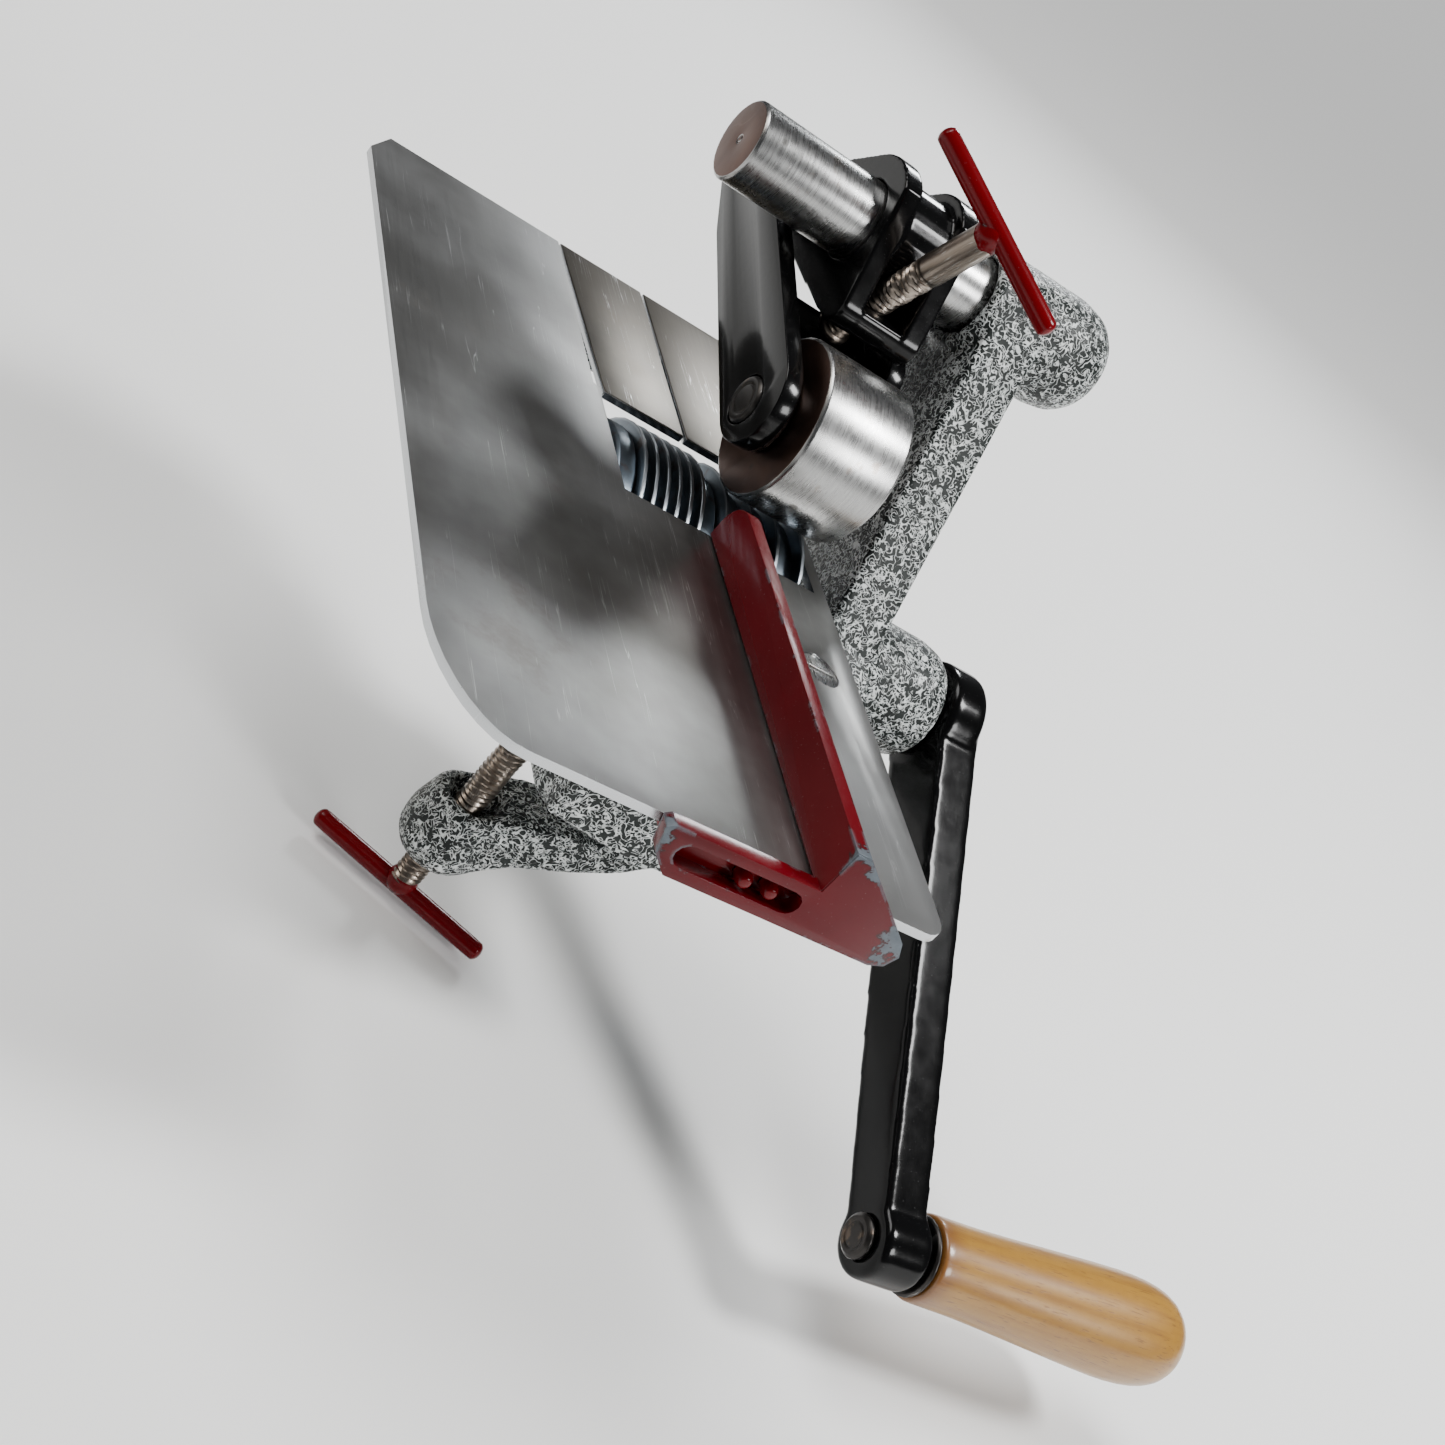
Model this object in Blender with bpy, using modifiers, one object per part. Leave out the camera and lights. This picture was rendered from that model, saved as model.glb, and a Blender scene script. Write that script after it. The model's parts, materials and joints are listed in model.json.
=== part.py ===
"""Hand-cranked cloth strip cutter that clamps to a table edge.

Metres, +Z up.  +X runs along the crankshaft towards the crank, and cloth is fed
towards +Y.  The origin is the middle of the clamp's upper jaw face, right above
the clamp screw, so z = 0 is the table top that the machine is clamped to.
"""
from math import acos, atan2, cos, degrees, hypot, pi, radians, sin, sqrt

import bmesh
import bpy
from mathutils import Matrix, Vector

MM = 0.001

# ---------------------------------------------------------------- driving sizes
GAP = 0.3 * MM                  # clearance between pieces that touch

CUTTER_R = 21.6 * MM            # cutting discs
CUTTER_X0 = -16.8 * MM          # left end of the cutter stack
COLLAR_W = 4.4 * MM
FINE_COUNT = 5
FINE_PITCH = 2.6 * MM
RING_W = 4.3 * MM
COARSE_COUNT = 3
COARSE_PITCH = 6.0 * MM
DISC_W = 0.7 * MM
GROOVE_DEPTH = 3.0 * MM
SHAFT_R = 6.35 * MM
SLEEVE_WALL = 3.15 * MM         # plain sleeve between the cutters and the bearing
SHAFT_HEAD_WALL = 2.65 * MM     # head that holds the stack, past the shaft's radius

ROLLER_R = 15.875 * MM
ROLLER_X0 = 5.0 * MM
ROLLER_W = 20.0 * MM
AXLE_R = 4.65 * MM
AXLE_HEAD_R = 6.4 * MM
AXLE_HEAD_W = 1.8 * MM
WASHER_W = 2.2 * MM
WASHER_R = 7.5 * MM

ROD_R = 7.9375 * MM
ROD_X0 = -19.1 * MM
ROD_BACK = 31.3 * MM            # rod axis behind the crankshaft axis
ROD_RISE = 29.6 * MM            # rod axis above the roller axis

PIVOT_BACK = 62.5 * MM          # arm pivot behind the crankshaft axis
PIVOT_RISE = 18.0 * MM          # arm pivot above the roller axis
PIVOT_R = 3.175 * MM
PIVOT_HEAD_R = 3.95 * MM
ARM_T = 3.7 * MM
ARM_R = 9.4 * MM
ARM_NECK_R = 6.7 * MM
WEB_T = 4.0 * MM
WEB_LEN = 16.0 * MM
WEB_DROP = 1.4 * MM             # web below the line from the axle to the pivot
LUG_R = 8.6 * MM                # right arm, which stops short of the roller

YOKE_SIDE_GAP = 6.8 * MM        # arm to yoke cheek, on the left
YOKE_W = 18.6 * MM
CHEEK_T = 4.3 * MM
YOKE_WALL = 5.5 * MM            # metal around the rod
YOKE_FLAT = 3.4 * MM            # metal between the rod and the flat front
YOKE_TOE_R = 4.2 * MM
YOKE_SLEEVE_T = 3.0625 * MM
YOKE_SILL_T = 5.5 * MM
YOKE_BELOW = 7.0625 * MM        # rod to the yoke's underside

SCREW_TILT = radians(31)        # pressure screw leans forward from upright
SCREW_R = 3.1 * MM
SCREW_ROD_GAP = 1.4 * MM
SCREW_SHANK = 45.3 * MM         # bar axis to the tip of the screw
FOOT_R = 3.6 * MM
FOOT_H = 3.4 * MM
TBAR_R = 2.05 * MM
TBAR_LEN = 39.6 * MM
TBAR_SWING = radians(-41)       # bar turned about the screw, from +X

TRAY_X0 = -63.2 * MM
TRAY_X1 = 28.7 * MM
TRAY_Y0 = -87.0 * MM
TRAY_Y1 = 87.8 * MM
TRAY_T = 1.6 * MM
CUTTER_RISE = 2.4 * MM          # discs above the tray
OPEN_FRONT = 4.6 * MM           # opening past the discs, in front
OPEN_REAR = 3.1 * MM
OPEN_SIDE = 0.6 * MM            # opening past the ends of the cutter stack
TRAY_CORNER_X = 14.5 * MM       # big rounded corner, in front on the left
TRAY_CORNER_Y = 24.0 * MM
SLIT = 0.6 * MM
PLATE_SPLIT_X = 2.7 * MM

JAW_T = 5.6 * MM
JAW_X0 = -7.0 * MM
JAW_Y0 = -33.0 * MM
JAW_Y1 = 45.0 * MM
WALL_X0 = 39.0 * MM
WALL_T = 13.0 * MM
BOSS_WALL = 6.15 * MM           # metal around the crankshaft
BOSS_END_WALL = 3.85 * MM
BOSS_END_X = 73.4 * MM
TOP_BOSS_WALL = 3.6625 * MM     # metal around the rod
TOP_BOSS_END_X = 70.5 * MM
FRONT_WALL_T = 12.0 * MM
LEDGE_BACK = 26.0 * MM          # ledge behind the opening, which carries the rear plates
LEDGE_T = 8.0 * MM

CLAMP_R = 3.15 * MM
CLAMP_BOSS_R = 9.2 * MM
CLAMP_BOSS_TOP = -24.0 * MM
CLAMP_BOSS_H = 15.6 * MM
CLAMP_BAR_Z = -50.2 * MM
CLAMP_BAR_LEN = 42.0 * MM
PAD_R = 6.5 * MM
PAD_H = 4.0 * MM
PAD_TOP = -2.3 * MM
THROAT_X = 33.0 * MM
CLAMP_ARM_W = 15.0 * MM
CLAMP_BAR_SWING = radians(-31.5)

CRANK_LEN = 106.5 * MM
CRANK_ANGLE = radians(-148.7)     # about the shaft, from +Y
CRANK_T = 10.4 * MM
CRANK_HUB_WALL = 4.85 * MM
CRANK_TIP_R = 7.6 * MM
CRANK_ARM_R0 = 8.2 * MM
CRANK_ARM_R1 = 5.8 * MM
CRANK_LEAN = 5.5 * MM           # handle end stands this far out
TIP_T = 12.0 * MM
PIN_R = 3.2 * MM
PIN_HEAD_R = 4.4 * MM
GRIP_LEN = 69.6 * MM
FERRULE_T = 1.2 * MM
FERRULE_R = 7.9 * MM

FENCE_X0 = 1.0 * MM
FENCE_T = 2.7 * MM
FENCE_H = 9.3 * MM
FENCE_Y1 = -0.4 * MM
LEG_T = 3.0 * MM
LEG_X0 = -26.5 * MM
LEG_X1 = 20.8 * MM
LEG_DROP = 7.4 * MM             # leg's lower edge below the tray top
SLOT_X0 = -22.5 * MM
SLOT_X1 = 0.2 * MM
SLOT_H = 4.4 * MM
SLOT_DROP = 3.0 * MM            # slot's middle line below the tray top
GUIDE_SCREW_X = (-9.4 * MM, -4.6 * MM)
GUIDE_SCREW_R = 0.9 * MM
GUIDE_HEAD_R = 1.4 * MM

# ---------------------------------------------------------------- placed from them
SHAFT_Y = 17.0 * MM
SHAFT_Z = JAW_T + 0.8 * MM + CUTTER_R
ROLLER_Z = SHAFT_Z + CUTTER_R + GAP + ROLLER_R
ROLLER_X1 = ROLLER_X0 + ROLLER_W
ROD_X1 = TOP_BOSS_END_X - 6 * MM
YOKE_SLEEVE_R = ROD_R + YOKE_SLEEVE_T
YOKE_DROP = ROD_R + YOKE_BELOW
BOSS_R = SHAFT_R + BOSS_WALL
BOSS_END_R = SHAFT_R + BOSS_END_WALL
TOP_BOSS_R = ROD_R + TOP_BOSS_WALL
CRANK_HUB_R = SHAFT_R + CRANK_HUB_WALL
TRAY_TOP = SHAFT_Z + CUTTER_R - CUTTER_RISE
TRAY_UNDER = TRAY_TOP - TRAY_T
ROD_Y = SHAFT_Y + ROD_BACK
ROD_Z = ROLLER_Z + ROD_RISE
PIVOT_Y = SHAFT_Y + PIVOT_BACK
PIVOT_Z = ROLLER_Z + PIVOT_RISE
LEFT_ARM_X1 = ROLLER_X0 - 2 * GAP - WASHER_W
LEFT_ARM_X0 = LEFT_ARM_X1 - ARM_T
YOKE_X0 = LEFT_ARM_X1 + YOKE_SIDE_GAP
YOKE_X1 = YOKE_X0 + YOKE_W
RIGHT_ARM_X0 = YOKE_X1 + 0.8 * MM
RIGHT_ARM_X1 = RIGHT_ARM_X0 + ARM_T
SCREW_X = (YOKE_X0 + YOKE_X1) / 2
CUTTER_X1 = (CUTTER_X0 + COLLAR_W + FINE_COUNT * FINE_PITCH + DISC_W + RING_W
             + COARSE_COUNT * COARSE_PITCH + DISC_W + 3 * GAP)
HALF_CHORD = sqrt(CUTTER_R ** 2 - (TRAY_UNDER - SHAFT_Z) ** 2)
OPEN_Y0 = SHAFT_Y - HALF_CHORD - OPEN_FRONT
OPEN_Y1 = SHAFT_Y + HALF_CHORD + OPEN_REAR
OPEN_X0 = CUTTER_X0 - OPEN_SIDE
OPEN_X1 = CUTTER_X1 + OPEN_SIDE
WALL_Y0 = JAW_Y0 + 1 * MM
LEDGE_Y0 = OPEN_Y1 + LEDGE_BACK
SEAT_Z = TRAY_UNDER - GAP
CRANK_X0 = BOSS_END_X + 4 * GAP
HANDLE_Y = SHAFT_Y + CRANK_LEN * cos(CRANK_ANGLE)
HANDLE_Z = SHAFT_Z + CRANK_LEN * sin(CRANK_ANGLE)
TIP_X0 = CRANK_X0 + CRANK_LEAN
SCREW_DIR = Vector((0, -sin(SCREW_TILT), cos(SCREW_TILT)))
SCREW_OFF = ROD_R + SCREW_R + SCREW_ROD_GAP

ROUND = 32                      # sides of the large turned pieces
SMALL = 20                      # sides of pins, screws and washers


# ---------------------------------------------------------------- scene and materials
def clear_scene():
    for obj in list(bpy.data.objects):
        bpy.data.objects.remove(obj, do_unlink=True)


def new_collection(name):
    coll = bpy.data.collections.new(name)
    bpy.context.scene.collection.children.link(coll)
    return coll


def paint(name, colour, roughness, metallic):
    mat = bpy.data.materials.new(name)
    mat.use_nodes = True
    shader = mat.node_tree.nodes["Principled BSDF"]
    shader.inputs["Base Color"].default_value = (*colour, 1.0)
    shader.inputs["Roughness"].default_value = roughness
    shader.inputs["Metallic"].default_value = metallic
    mat.diffuse_color = (*colour, 1.0)
    return mat


clear_scene()
PARTS = new_collection("cloth_strip_cutter")
TOOLS = new_collection("cutters")
GREY = paint("hammered_grey_enamel", (0.30, 0.32, 0.31), 0.45, 0.2)
BLACK = paint("black_enamel", (0.012, 0.012, 0.014), 0.18, 0.0)
RED = paint("red_enamel", (0.40, 0.012, 0.020), 0.32, 0.0)
STEEL = paint("turned_steel", (0.55, 0.54, 0.52), 0.28, 1.0)
DARK_STEEL = paint("dark_steel", (0.16, 0.17, 0.18), 0.35, 1.0)
SHEET = paint("brushed_sheet", (0.52, 0.52, 0.51), 0.38, 1.0)
WOOD = paint("varnished_wood", (0.55, 0.33, 0.11), 0.30, 0.0)


# ---------------------------------------------------------------- shape helpers
def adopt(obj, mat, part=True):
    """Puts the object in its collection and gives it its material."""
    for coll in list(obj.users_collection):
        coll.objects.unlink(obj)
    (PARTS if part else TOOLS).objects.link(obj)
    obj.data.materials.clear()
    obj.data.materials.append(mat)
    if not part:
        obj.hide_render = True
        obj.display_type = "WIRE"
    return obj


def arc(cy, cz, r, a0, a1, steps=8):
    """Points of an arc, in degrees, from a0 to a1."""
    angles = [radians(a0 + (a1 - a0) * i / steps) for i in range(steps + 1)]
    return [(cy + r * cos(a), cz + r * sin(a)) for a in angles]


def circle(cy, cz, r, steps=32):
    return arc(cy, cz, r, 0, 360, steps)[:-1]


def hull(points):
    """Convex outline, anticlockwise, around the points."""
    pts = sorted({(round(a, 7), round(b, 7)) for a, b in points})

    def half(seq):
        out = []
        for p in seq:
            while len(out) > 1 and ((out[-1][0] - out[-2][0]) * (p[1] - out[-2][1])
                                    - (out[-1][1] - out[-2][1]) * (p[0] - out[-2][0])) <= 1e-12:
                out.pop()
            out.append(p)
        return out[:-1]

    return half(pts) + half(reversed(pts))


PLANE = {
    # outline axes -> world axes; the thickness runs along the third
    "YZ": Matrix(((0, 0, 1), (1, 0, 0), (0, 1, 0))),
    "XZ": Matrix(((1, 0, 0), (0, 0, -1), (0, 1, 0))),
    "XY": Matrix(((1, 0, 0), (0, 1, 0), (0, 0, 1))),
}


def slab(name, plane, outline, start, end, mat, holes=(), part=True):
    """Flat outline given thickness between start and end along the plane's normal."""
    data = bpy.data.curves.new(name, "CURVE")
    data.dimensions = "2D"
    data.fill_mode = "BOTH"
    data.extrude = abs(end - start) / 2
    for loop in (outline, *holes):
        spline = data.splines.new("POLY")
        spline.points.add(len(loop) - 1)
        for point, (a, b) in zip(spline.points, loop):
            point.co = (a, b, 0, 1)
        spline.use_cyclic_u = True
    curve = bpy.data.objects.new(name + "_outline", data)
    TOOLS.objects.link(curve)
    middle = (start + end) / 2
    if plane == "XZ":
        middle = -middle
    turn = PLANE[plane].to_4x4()
    curve.matrix_world = turn @ Matrix.Translation((0, 0, middle))
    bpy.context.view_layer.update()
    mesh = bpy.data.meshes.new_from_object(curve.evaluated_get(bpy.context.evaluated_depsgraph_get()))
    mesh.transform(curve.matrix_world)
    bpy.data.objects.remove(curve, do_unlink=True)
    weld(mesh)
    obj = bpy.data.objects.new(name, mesh)
    return adopt(obj, mat, part)


def weld(mesh):
    bm = bmesh.new()
    bm.from_mesh(mesh)
    bmesh.ops.remove_doubles(bm, verts=bm.verts, dist=1e-6)
    bmesh.ops.recalc_face_normals(bm, faces=bm.faces)
    bm.to_mesh(mesh)
    bm.free()


def turned(name, profile, place, mat, steps=ROUND, part=True):
    """Profile of (radius, height) turned about Z, top to bottom; place puts it in the world."""
    mesh = bpy.data.meshes.new(name)
    bm = bmesh.new()
    verts = [bm.verts.new((r, 0, h)) for r, h in profile]
    closed = profile[0][0] > 1e-6
    pairs = list(zip(verts, verts[1:])) + ([(verts[-1], verts[0])] if closed else [])
    for a, b in pairs:
        bm.edges.new((a, b))
    bm.to_mesh(mesh)
    bm.free()
    obj = bpy.data.objects.new(name, mesh)
    obj.matrix_world = place
    screw = obj.modifiers.new("turn", "SCREW")
    screw.axis = "Z"
    screw.angle = 2 * pi
    screw.steps = steps
    screw.render_steps = steps
    screw.use_merge_vertices = True
    screw.merge_threshold = 0.00001
    screw.use_smooth_shade = True
    return adopt(obj, mat, part)


def along_x(x, y, z):
    """Places a turned piece with its height along +X, starting at x."""
    return Matrix.Translation((x, y, z)) @ Matrix.Rotation(pi / 2, 4, "Y")


def along(direction, origin):
    """Places a turned piece with its height along a direction."""
    return Matrix.Translation(origin) @ Vector(direction).to_track_quat("Z", "X").to_matrix().to_4x4()


def bar(r, h0, h1, chamfer=0.0):
    """Profile of a solid round bar from h0 to h1."""
    if chamfer <= 0:
        return [(0, h1), (r, h1), (r, h0), (0, h0)]
    return [(0, h1), (r - chamfer, h1), (r, h1 - chamfer),
            (r, h0 + chamfer), (r - chamfer, h0), (0, h0)]


def ring(r_in, r_out, h0, h1, chamfer=0.0):
    """Profile of a ring from h0 to h1."""
    if chamfer <= 0:
        return [(r_out, h1), (r_out, h0), (r_in, h0), (r_in, h1)]
    return [(r_out - chamfer, h1), (r_out, h1 - chamfer), (r_out, h0 + chamfer),
            (r_out - chamfer, h0), (r_in, h0), (r_in, h1)]


def origin_at(obj, y, z):
    """Moves the object's origin onto an axis along X, without moving its shape."""
    obj.data.transform(Matrix.Translation((0, -y, -z)))
    obj.location = (0, y, z)
    bpy.context.view_layer.update()


def combine(obj, other, operation, label):
    mod = obj.modifiers.new(label, "BOOLEAN")
    mod.operation = operation
    mod.solver = "EXACT"
    mod.object = other
    return mod


def join(obj, *others):
    for other in others:
        combine(obj, other, "UNION", "join_" + other.name)


def cut(obj, *others):
    for other in others:
        combine(obj, other, "DIFFERENCE", "cut_" + other.name)


def hole_x(name, r, x0, x1, y, z, steps=SMALL):
    """Cutter for a round hole along X."""
    return turned(name, bar(r, 0, x1 - x0), along_x(x0, y, z), DARK_STEEL, steps, part=False)


def screw_point(distance):
    """Point on the pressure screw's axis, measured up from the one nearest the rod."""
    near = Vector((SCREW_X, ROD_Y, ROD_Z)) + SCREW_OFF * Vector((0, -cos(SCREW_TILT), -sin(SCREW_TILT)))
    return near + distance * SCREW_DIR


def web_top_at(y):
    """Height of the web's upper face at y."""
    return ROLLER_Z + PIVOT_RISE / PIVOT_BACK * (y - SHAFT_Y) - WEB_DROP + WEB_T / 2


def screw_tip_distance():
    """Where the screw's axis meets the web, as a distance along the axis."""
    slope = PIVOT_RISE / PIVOT_BACK
    p = screw_point(0)
    return (web_top_at(p.y) - p.z) / (SCREW_DIR.z - slope * SCREW_DIR.y)


# ---------------------------------------------------------------- body casting
def jaw_outline():
    corner = [(JAW_X0 + 18 * MM * (1 - cos(radians(a))), JAW_Y0 + 10 * MM * (1 - sin(radians(a))))
              for a in range(0, 91, 15)]
    return corner + [(WALL_X0 + WALL_T, JAW_Y0), (WALL_X0 + WALL_T, JAW_Y1), (JAW_X0, JAW_Y1)]


def front_wall():
    """Wall that rises from the jaw to the tray in front of the cutter."""
    x0, x1 = JAW_X0 + 1 * MM, TRAY_X1 - 3 * MM
    outline = [(x0, 1 * MM), (WALL_X0 + 5 * MM, 1 * MM), (WALL_X0 + 5 * MM, 14 * MM), (x1, 26 * MM),
               (x1, SEAT_Z), (x0, SEAT_Z)]
    return slab("front_wall", "XZ", outline, WALL_Y0, WALL_Y0 + FRONT_WALL_T, GREY, part=False)


def side_wall():
    """Side of the casting: broad at the jaw, with a ledge at the back for the rear plates."""
    low = hull(circle(SHAFT_Y, SHAFT_Z, BOSS_R) + [(JAW_Y0 + 1 * MM, 1 * MM), (JAW_Y0 + 1 * MM, 12 * MM),
                                                   (JAW_Y1 - 1 * MM, 1 * MM), (JAW_Y1 - 1 * MM, 20 * MM)])
    low_web = slab("low_web", "YZ", low, WALL_X0, WALL_X0 + WALL_T, GREY, part=False)
    high = hull(circle(SHAFT_Y, SHAFT_Z, BOSS_R) + circle(ROD_Y, ROD_Z, TOP_BOSS_R - 0.8 * MM))
    neck = slab("neck", "YZ", high, WALL_X0 + 0.2 * MM, WALL_X0 + WALL_T - 0.2 * MM, GREY, part=False)
    end = LEDGE_Y0 + LEDGE_T
    rib = hull([(SHAFT_Y + 14 * MM, SHAFT_Z - 6 * MM), (SHAFT_Y + 16 * MM, SEAT_Z), (end, SEAT_Z),
                (end, SEAT_Z - 9 * MM)])
    rib = slab("ledge_rib", "YZ", rib, WALL_X0 + 1 * MM, WALL_X0 + 6 * MM, GREY, part=False)
    x0, x1 = OPEN_X0 + 2 * MM, WALL_X0 + 5 * MM
    ledge = slab("ledge", "XZ", [(x0, SEAT_Z - 7 * MM), (x1, SEAT_Z - 8.8 * MM), (x1, SEAT_Z - 0.2 * MM),
                                 (x0, SEAT_Z - 0.2 * MM)], LEDGE_Y0, end - 0.2 * MM, GREY, part=False)
    return low_web, neck, rib, ledge


def bosses():
    """Long bearing for the crankshaft and the socket that holds the rod."""
    end, r = BOSS_END_X, BOSS_R
    profile = [(0, end), (BOSS_END_R, end), (r - 0.9 * MM, end - 2 * MM), (r, end - 6 * MM),
               (r + 0.3 * MM, WALL_X0 + 0.1 * MM), (0, WALL_X0 + 0.1 * MM)]
    shaft = turned("shaft_boss", profile, along_x(0, SHAFT_Y, SHAFT_Z), GREY, part=False)
    end, r, start = TOP_BOSS_END_X, TOP_BOSS_R, WALL_X0 - 2 * MM
    profile = [(0, end), (0.47 * r, end - 0.4 * MM), (0.74 * r, end - 2.1 * MM), (0.92 * r, end - 5.1 * MM),
               (r, end - 10 * MM), (0.98 * r, WALL_X0 + WALL_T), (0.95 * r, start), (0, start)]
    rod = turned("rod_boss", profile, along_x(0, ROD_Y, ROD_Z), GREY, part=False)
    return shaft, rod


def body_casting():
    body = slab("body_casting", "XY", jaw_outline(), 0, JAW_T, GREY)
    join(body, front_wall(), *side_wall(), *bosses(), *clamp_frame())
    rod_bore = hole_x("rod_bore", ROD_R + GAP, WALL_X0 - 4 * MM, ROD_X1 + GAP, ROD_Y, ROD_Z)
    shaft_bore = hole_x("shaft_bore", SHAFT_R + GAP, WALL_X0 - 2 * MM, BOSS_END_X + 2 * MM, SHAFT_Y, SHAFT_Z)
    cut(body, rod_bore, shaft_bore, clamp_bore(), *casting_screw_holes())
    return body


def clamp_frame():
    """Spine and lower arm of the table clamp, with the boss that carries its screw."""
    top = CLAMP_BOSS_TOP
    low = top - CLAMP_BOSS_H
    t = THROAT_X
    bend = [(t - 8 * MM + 8 * MM * sin(radians(a)), top + 14.5 * MM - 8 * MM * cos(radians(a)))
            for a in range(15, 91, 15)]
    outline = [(-3 * MM, top - 1 * MM), (8 * MM, top + 3 * MM), (t - 8 * MM, top + 6.5 * MM)] + bend
    outline += [(t, 1 * MM), (t + 14 * MM, 1 * MM), (t + 12 * MM, top + 16 * MM), (t + 6 * MM, top + 8 * MM),
                (t - 2 * MM, top + 1.5 * MM), (t - 11 * MM, top - 3 * MM), (t - 21 * MM, top - 7 * MM),
                (5 * MM, low + 3.0 * MM), (-3 * MM, low + 3.0 * MM)]
    frame = slab("clamp_arm", "XZ", outline, -CLAMP_ARM_W / 2, CLAMP_ARM_W / 2, GREY, part=False)
    r = CLAMP_BOSS_R
    profile = [(0, top), (r - 2.4 * MM, top), (r - 1.4 * MM, top - 1 * MM), (r, top - 8 * MM),
               (r - 0.4 * MM, low + 3 * MM), (r - 2.4 * MM, low), (0, low)]
    boss = turned("clamp_boss", profile, Matrix(), GREY, part=False)
    return frame, boss


def clamp_bore():
    """Hole for the clamp screw, wider at the top."""
    z_top = CLAMP_BOSS_TOP
    z_low = z_top - CLAMP_BOSS_H
    r = CLAMP_R + GAP
    wide = r + 2.0 * MM
    return turned("clamp_bore", [(0, z_top + 4 * MM), (wide, z_top + 4 * MM), (wide, z_top - 1 * MM),
                                 (r, z_top - 3.5 * MM), (r, z_low - 4 * MM), (0, z_low - 4 * MM)],
                  Matrix(), DARK_STEEL, SMALL, part=False)


# ---------------------------------------------------------------- tray
def screw_sites():
    """Places of the countersunk screws: one in the tray, one in each rear plate."""
    ledge_y = LEDGE_Y0 + LEDGE_T / 2
    return {
        "tray_screw": (TRAY_X1 - 8.8 * MM, WALL_Y0 + FRONT_WALL_T / 2),
        "rear_screw_left": (PLATE_SPLIT_X - 5 * MM, ledge_y),
        "rear_screw_right": (TRAY_X1 - 7 * MM, ledge_y),
    }


def countersink(name, x, y, depth, part, r=1.7 * MM, head=3.9 * MM, mat=None):
    """Countersunk screw, or the cutter for its hole, flush with the tray's top."""
    grow = 0 if part else GAP
    top = TRAY_TOP - (0.2 * MM if part else -1 * MM)
    tip = TRAY_TOP - depth - grow
    profile = [(0, top), (head + grow, top), (head + grow, TRAY_TOP - 0.4 * MM),
               (r + grow, TRAY_TOP - 1.5 * MM), (r + grow, tip), (0, tip)]
    return turned(name, profile, Matrix.Translation((x, y, 0)), mat or STEEL, SMALL, part)


def casting_screw_holes():
    return [countersink("bore_" + name, x, y, 8 * MM, False) for name, (x, y) in screw_sites().items()]


def tray():
    x0, x1, y0, y1 = TRAY_X0, TRAY_X1, TRAY_Y0, TRAY_Y1
    front_left = [(x0 + TRAY_CORNER_X * (1 - cos(radians(a))), y0 + TRAY_CORNER_Y * (1 - sin(radians(a))))
                  for a in range(0, 91, 10)]
    c = 5 * MM
    front_right = [(x1 - c + c * sin(radians(a)), y0 + c - c * cos(radians(a))) for a in range(0, 91, 15)]
    slit_x = OPEN_X0 - 1.2 * MM
    opening = [(x1, OPEN_Y1 - 1 * MM), (OPEN_X1, OPEN_Y1 - 1 * MM), (OPEN_X1, OPEN_Y0),
               (OPEN_X0, OPEN_Y0), (OPEN_X0, OPEN_Y1), (slit_x, OPEN_Y1 + 1 * MM)]
    outline = front_left + front_right + opening + [(slit_x, y1), (x0 + 5 * MM, y1), (x0, y1 - 9 * MM)]
    sheet = slab("tray", "XY", outline, TRAY_UNDER, TRAY_TOP, SHEET)
    x, y = screw_sites()["tray_screw"]
    cut(sheet, countersink("sink_tray_screw", x, y, 8 * MM, False))
    return sheet


def rear_plates():
    """Two separate plates behind the opening, with thin slits between them."""
    y1 = TRAY_Y1
    slit_x = OPEN_X0 - 1.2 * MM
    left_x1, right_x0 = PLATE_SPLIT_X - SLIT / 2, PLATE_SPLIT_X + SLIT / 2
    left = [(OPEN_X0 + 1.2 * MM, OPEN_Y1), (left_x1, OPEN_Y1), (left_x1, y1), (slit_x + SLIT, y1)]
    right = [(right_x0, OPEN_Y1), (TRAY_X1, OPEN_Y1), (TRAY_X1, y1 - 4 * MM), (TRAY_X1 - 4 * MM, y1),
             (right_x0, y1)]
    for name, outline, screw in (("rear_plate_left", left, "rear_screw_left"),
                                 ("rear_plate_right", right, "rear_screw_right")):
        plate = slab(name, "XY", outline, TRAY_UNDER, TRAY_TOP, SHEET)
        x, y = screw_sites()[screw]
        cut(plate, countersink("sink_" + screw, x, y, 8 * MM, False))


def tray_screws():
    for name, (x, y) in screw_sites().items():
        screw = countersink(name, x, y, 7 * MM, True)
        x0, x1 = x - 6 * MM, x + 6 * MM
        low, high = TRAY_TOP - 0.9 * MM, TRAY_TOP + 1 * MM
        outline = [(x0, low), (x1, low), (x1, high), (x0, high)]
        slot = slab(name + "_slot", "XZ", outline, y - 0.45 * MM, y + 0.45 * MM, STEEL, part=False)
        cut(screw, slot)


# ---------------------------------------------------------------- cutter and crankshaft
def comb(count, pitch):
    """Profile of grooved cutter with its discs, about 0, from height 0 up."""
    width = count * pitch + DISC_W
    points = []
    for i in range(count, -1, -1):
        low = i * pitch
        points += [(CUTTER_R, low + DISC_W), (CUTTER_R, low)]
        if i:
            points += [(CUTTER_R - GROOVE_DEPTH, low), (CUTTER_R - GROOVE_DEPTH, low - pitch + DISC_W)]
    bore = SHAFT_R + GAP
    return points + [(bore, 0), (bore, width)], width


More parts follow.
